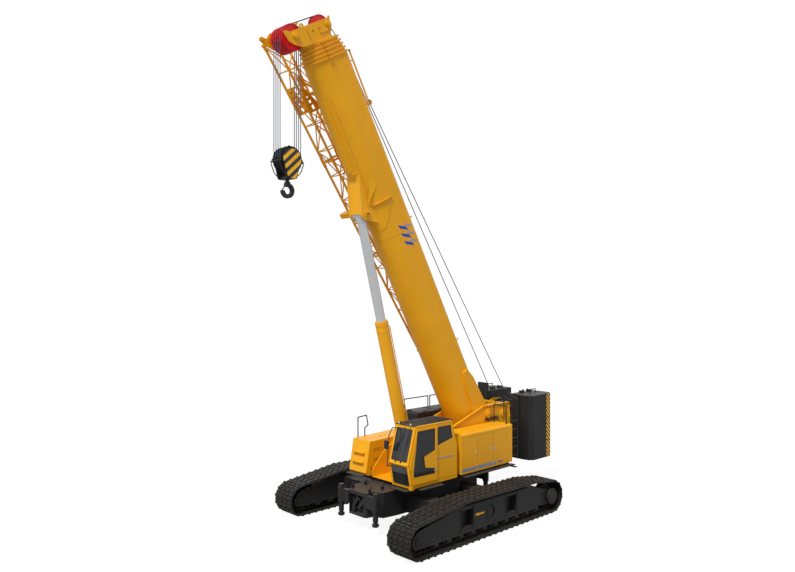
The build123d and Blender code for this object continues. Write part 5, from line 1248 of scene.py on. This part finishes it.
# ------------------------------------------------------------------ cylinder and hook
class CRANE_OT_cylinder_trim(bpy.types.Operator):
    """Adds gland bolts, the feed pipe and its clamps to the luffing cylinder"""

    bl_idname = "crane.cylinder_trim"
    bl_label = "Trim the cylinder"

    def execute(self, context):
        axis = (CYLINDER_EYE - CYLINDER_FOOT).normalized()
        out = (axis.cross(LEFT).normalized() + LEFT).normalized()
        beside = axis.cross(out)
        stand_off = out * (BARREL_RADIUS + 0.03)
        shape = Shape()
        top = CYLINDER_FOOT + axis * BARREL_LENGTH
        shape.bolts(top - axis * 0.002, axis, 0.18, 14, 0.013, 0.016)
        for side in (-0.03, 0.03):
            offset = stand_off + beside * side
            path = [CYLINDER_FOOT + axis * a + offset for a in (0.75, 2.0, 3.4, BARREL_LENGTH - 0.2)]
            path = [path[0] - out * 0.05, *path, path[-1] - out * 0.05 + axis * 0.03]
            shape.sweep(path, 0.015, 10)
        for along in (1.2, 2.3, 3.4, 4.4):
            centre = CYLINDER_FOOT + axis * along + stand_off
            shape.bar(centre - beside * 0.05, centre + beside * 0.05, 0.02, 10)
        shape.piece("cylinder_pipes", "luff_barrel", "body paint", "yellow_paint")
        # the rod's length inside the barrel, which shows when the boom is raised
        shape = Shape()
        tail = CYLINDER_FOOT + axis * (BARREL_LENGTH - 1.18)
        shape.turned(((0, 0.14), (0.01, 0.1495), (0.8, 0.1495)), tail, axis, 40)
        shape.piece("rod_tail", "luff_rod", "rod plating", "rod_chrome")
        shape = Shape()
        for sign in (1, -1):
            face = CYLINDER_EYE + LEFT * sign * 0.336
            shape.turned(((0, 0.085), (0.012, 0.085), (0.018, 0.06)), face, LEFT * sign, 24)
            shape.bolts(face + LEFT * sign * 0.012, LEFT * sign, 0.055, 4, 0.01, 0.012)
        shape.piece("cylinder_pin_caps", "boom", "body paint", "yellow_paint")
        # dark discs on the pin caps: painted shade standing for the pin bores
        shape = Shape()
        for sign in (1, -1):
            shape.turned(((0, 0.036), (0.003, 0.034)), CYLINDER_EYE + LEFT * sign * 0.354, LEFT * sign, 20)
        shape.piece("cylinder_pin_bore_shades", "boom", "dark steel", "dark_steel")
        return {"FINISHED"}


class CRANE_OT_hook_trim(bpy.types.Operator):
    """Adds striped cheeks, guards and the latch to the hook block"""

    bl_idname = "crane.hook_trim"
    bl_label = "Trim the hook block"

    def execute(self, context):
        x, z = BLOCK_AXLE.x, BLOCK_AXLE.z
        half = BLOCK_HALF
        cheek = [(x + 0.29 * cos(a), z + 0.29 * sin(a)) for a in [pi * k / 16 for k in range(-2, 19)]]
        cheek += [(x - 0.15, z - 0.46), (x - 0.09, z - 0.53), (x + 0.09, z - 0.53), (x + 0.15, z - 0.46)]
        shape = Shape()
        for sign in (1, -1):
            face = sign * (half + 0.002)
            shape.prism(cheek, (0, face, 0), FORWARD, UPWARD, -0.028 * sign)
        shape.piece("hook_block_stripes", "hook_block", "block stripes", "yellow_paint", 0.002)
        shape = Shape()
        for sign in (1, -1):
            shape.bolts((x, sign * (half + 0.03), z), LEFT * sign, 0.06, 4, 0.008, 0.006)
            for reach in (1, -1):
                guard = ((0.36, 0.02), (0.4, -0.12), (0.3, -0.36), (0.12, -0.52))
                path = [(x + reach * dx, sign * (half - 0.02), z + dz) for dx, dz in guard]
                shape.sweep(path, 0.014, 8)
        for y in (-0.08, 0.08):
            lug = [(x - 0.09, z + 0.26), (x + 0.09, z + 0.26), (x + 0.03, z + 0.4), (x - 0.03, z + 0.4)]
            shape.ring(lug, inset(lug, 0.022), (0, y + 0.012, 0), FORWARD, UPWARD, 0.024)
        shape.piece("hook_block_frames", "hook_block", "dark paint", "dark_paint")
        shape = Shape()
        latch = ((0.03, -0.66), (0.06, -0.67), (0.19, -0.84), (0.165, -0.86))
        shape.prism(latch, BLOCK_AXLE + LEFT * 0.012, FORWARD, UPWARD, 0.024)
        shape.piece("hook_latch", "hook", "dark steel", "dark_steel", 0.003)
        return {"FINISHED"}


# ------------------------------------------------------------------ stage
FLOOR_REACH = 400
FLOOR_DROP = 0.002
SENSOR = 36
LENS = 32.81977
EYE = (16.879, 16.759, 7.419)
EYE_TURN = 136.3445


class CRANE_OT_stage(bpy.types.Operator):
    """Sets up the floor, the light and the camera"""

    bl_idname = "crane.stage"
    bl_label = "Set the stage"

    def execute(self, context):
        settings = context.scene.crane_stage
        scene = context.scene
        material, tree, shader = shader_tree("floor")
        shader.inputs["Base Color"].default_value = (*settings.floor, 1)
        shader.inputs["Roughness"].default_value = 0.9
        glow = node(tree, "ShaderNodeEmission", {"Color": (1, 1, 1, 1), "Strength": 1.22})
        path = node(tree, "ShaderNodeLightPath")
        seen = math_node(tree, "MAXIMUM", path.outputs["Is Camera Ray"], path.outputs["Is Transmission Ray"])
        part = math_node(tree, "MULTIPLY", seen, 1 - settings.shadow)
        blend = node(tree, "ShaderNodeMixShader", {0: part, 1: shader.outputs[0], 2: glow.outputs[0]})
        tree.links.new(blend.outputs[0], tree.nodes["Material Output"].inputs["Surface"])
        mesh = bpy.data.meshes.new("floor")
        corners = [(x, y, 0) for x, y in oblong(-FLOOR_REACH, -FLOOR_REACH, FLOOR_REACH, FLOOR_REACH)]
        mesh.from_pydata(corners, [], [(0, 1, 2, 3)])
        floor = bpy.data.objects.new("floor", mesh)
        mesh.materials.append(material)
        scene.collection.objects.link(floor)
        floor.location.z = -FLOOR_DROP
        world = bpy.data.worlds.new("studio")
        scene.world = world
        world.use_nodes = True
        sky = world.node_tree
        back = sky.nodes["Background"]
        back.inputs["Color"].default_value = (1, 1, 1, 1)
        path = node(sky, "ShaderNodeLightPath")
        seen = math_node(sky, "MAXIMUM", path.outputs["Is Camera Ray"], path.outputs["Is Transmission Ray"])
        seen = math_node(sky, "MAXIMUM", seen, path.outputs["Is Glossy Ray"])
        strength = ramp(sky, seen, 0, 1, settings.sky, 1)
        sky.links.new(strength, back.inputs["Strength"])
        lamp = bpy.data.lights.new("sun", "SUN")
        lamp.energy = settings.sun
        lamp.angle = radians(14)
        sun = bpy.data.objects.new("sun", lamp)
        sun.rotation_euler = (radians(-13), radians(36), 0)
        scene.collection.objects.link(sun)
        camera = bpy.data.cameras.new("camera")
        camera.sensor_width = SENSOR
        camera.lens = LENS
        camera.clip_end = 2000
        eye = bpy.data.objects.new("camera", camera)
        eye.location = EYE
        eye.rotation_euler = (radians(90), 0, radians(EYE_TURN))
        scene.collection.objects.link(eye)
        scene.camera = eye
        scene.view_settings.view_transform = "Standard"
        return {"FINISHED"}


# ------------------------------------------------------------------ panel and registration
OPERATORS = (
    CRANE_OT_paint,
    CRANE_OT_shoes,
    CRANE_OT_track_trim,
    CRANE_OT_carbody_trim,
    CRANE_OT_cab_trim,
    CRANE_OT_hood_trim,
    CRANE_OT_weight_trim,
    CRANE_OT_winches,
    CRANE_OT_boom_trim,
    CRANE_OT_ropes,
    CRANE_OT_head_trim,
    CRANE_OT_jib_trim,
    CRANE_OT_cylinder_trim,
    CRANE_OT_hook_trim,
    CRANE_OT_stage,
)


class CRANE_PT_panel(bpy.types.Panel):
    """Lists the crane's settings and steps."""

    bl_label = "Crane"
    bl_idname = "CRANE_PT_panel"
    bl_space_type = "VIEW_3D"
    bl_region_type = "UI"
    bl_category = "Crane"

    def draw(self, context):
        for settings in (context.scene.crane_paint, context.scene.crane_rigging, context.scene.crane_stage):
            for name in settings.__annotations__:
                self.layout.prop(settings, name)
        for operator in OPERATORS:
            self.layout.operator(operator.bl_idname)


CLASSES = (CranePaint, CraneRigging, CraneStage, *OPERATORS, CRANE_PT_panel)


def register():
    for kind in CLASSES:
        bpy.utils.register_class(kind)
    bpy.types.Scene.crane_paint = bpy.props.PointerProperty(type=CranePaint)
    bpy.types.Scene.crane_rigging = bpy.props.PointerProperty(type=CraneRigging)
    bpy.types.Scene.crane_stage = bpy.props.PointerProperty(type=CraneStage)


def unregister():
    del bpy.types.Scene.crane_stage
    del bpy.types.Scene.crane_rigging
    del bpy.types.Scene.crane_paint
    for kind in reversed(CLASSES):
        bpy.utils.unregister_class(kind)


def main():
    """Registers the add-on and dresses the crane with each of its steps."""
    register()
    for operator in OPERATORS:
        group, name = operator.bl_idname.split(".")
        getattr(getattr(bpy.ops, group), name)()


if __name__ == "__main__":
    main()
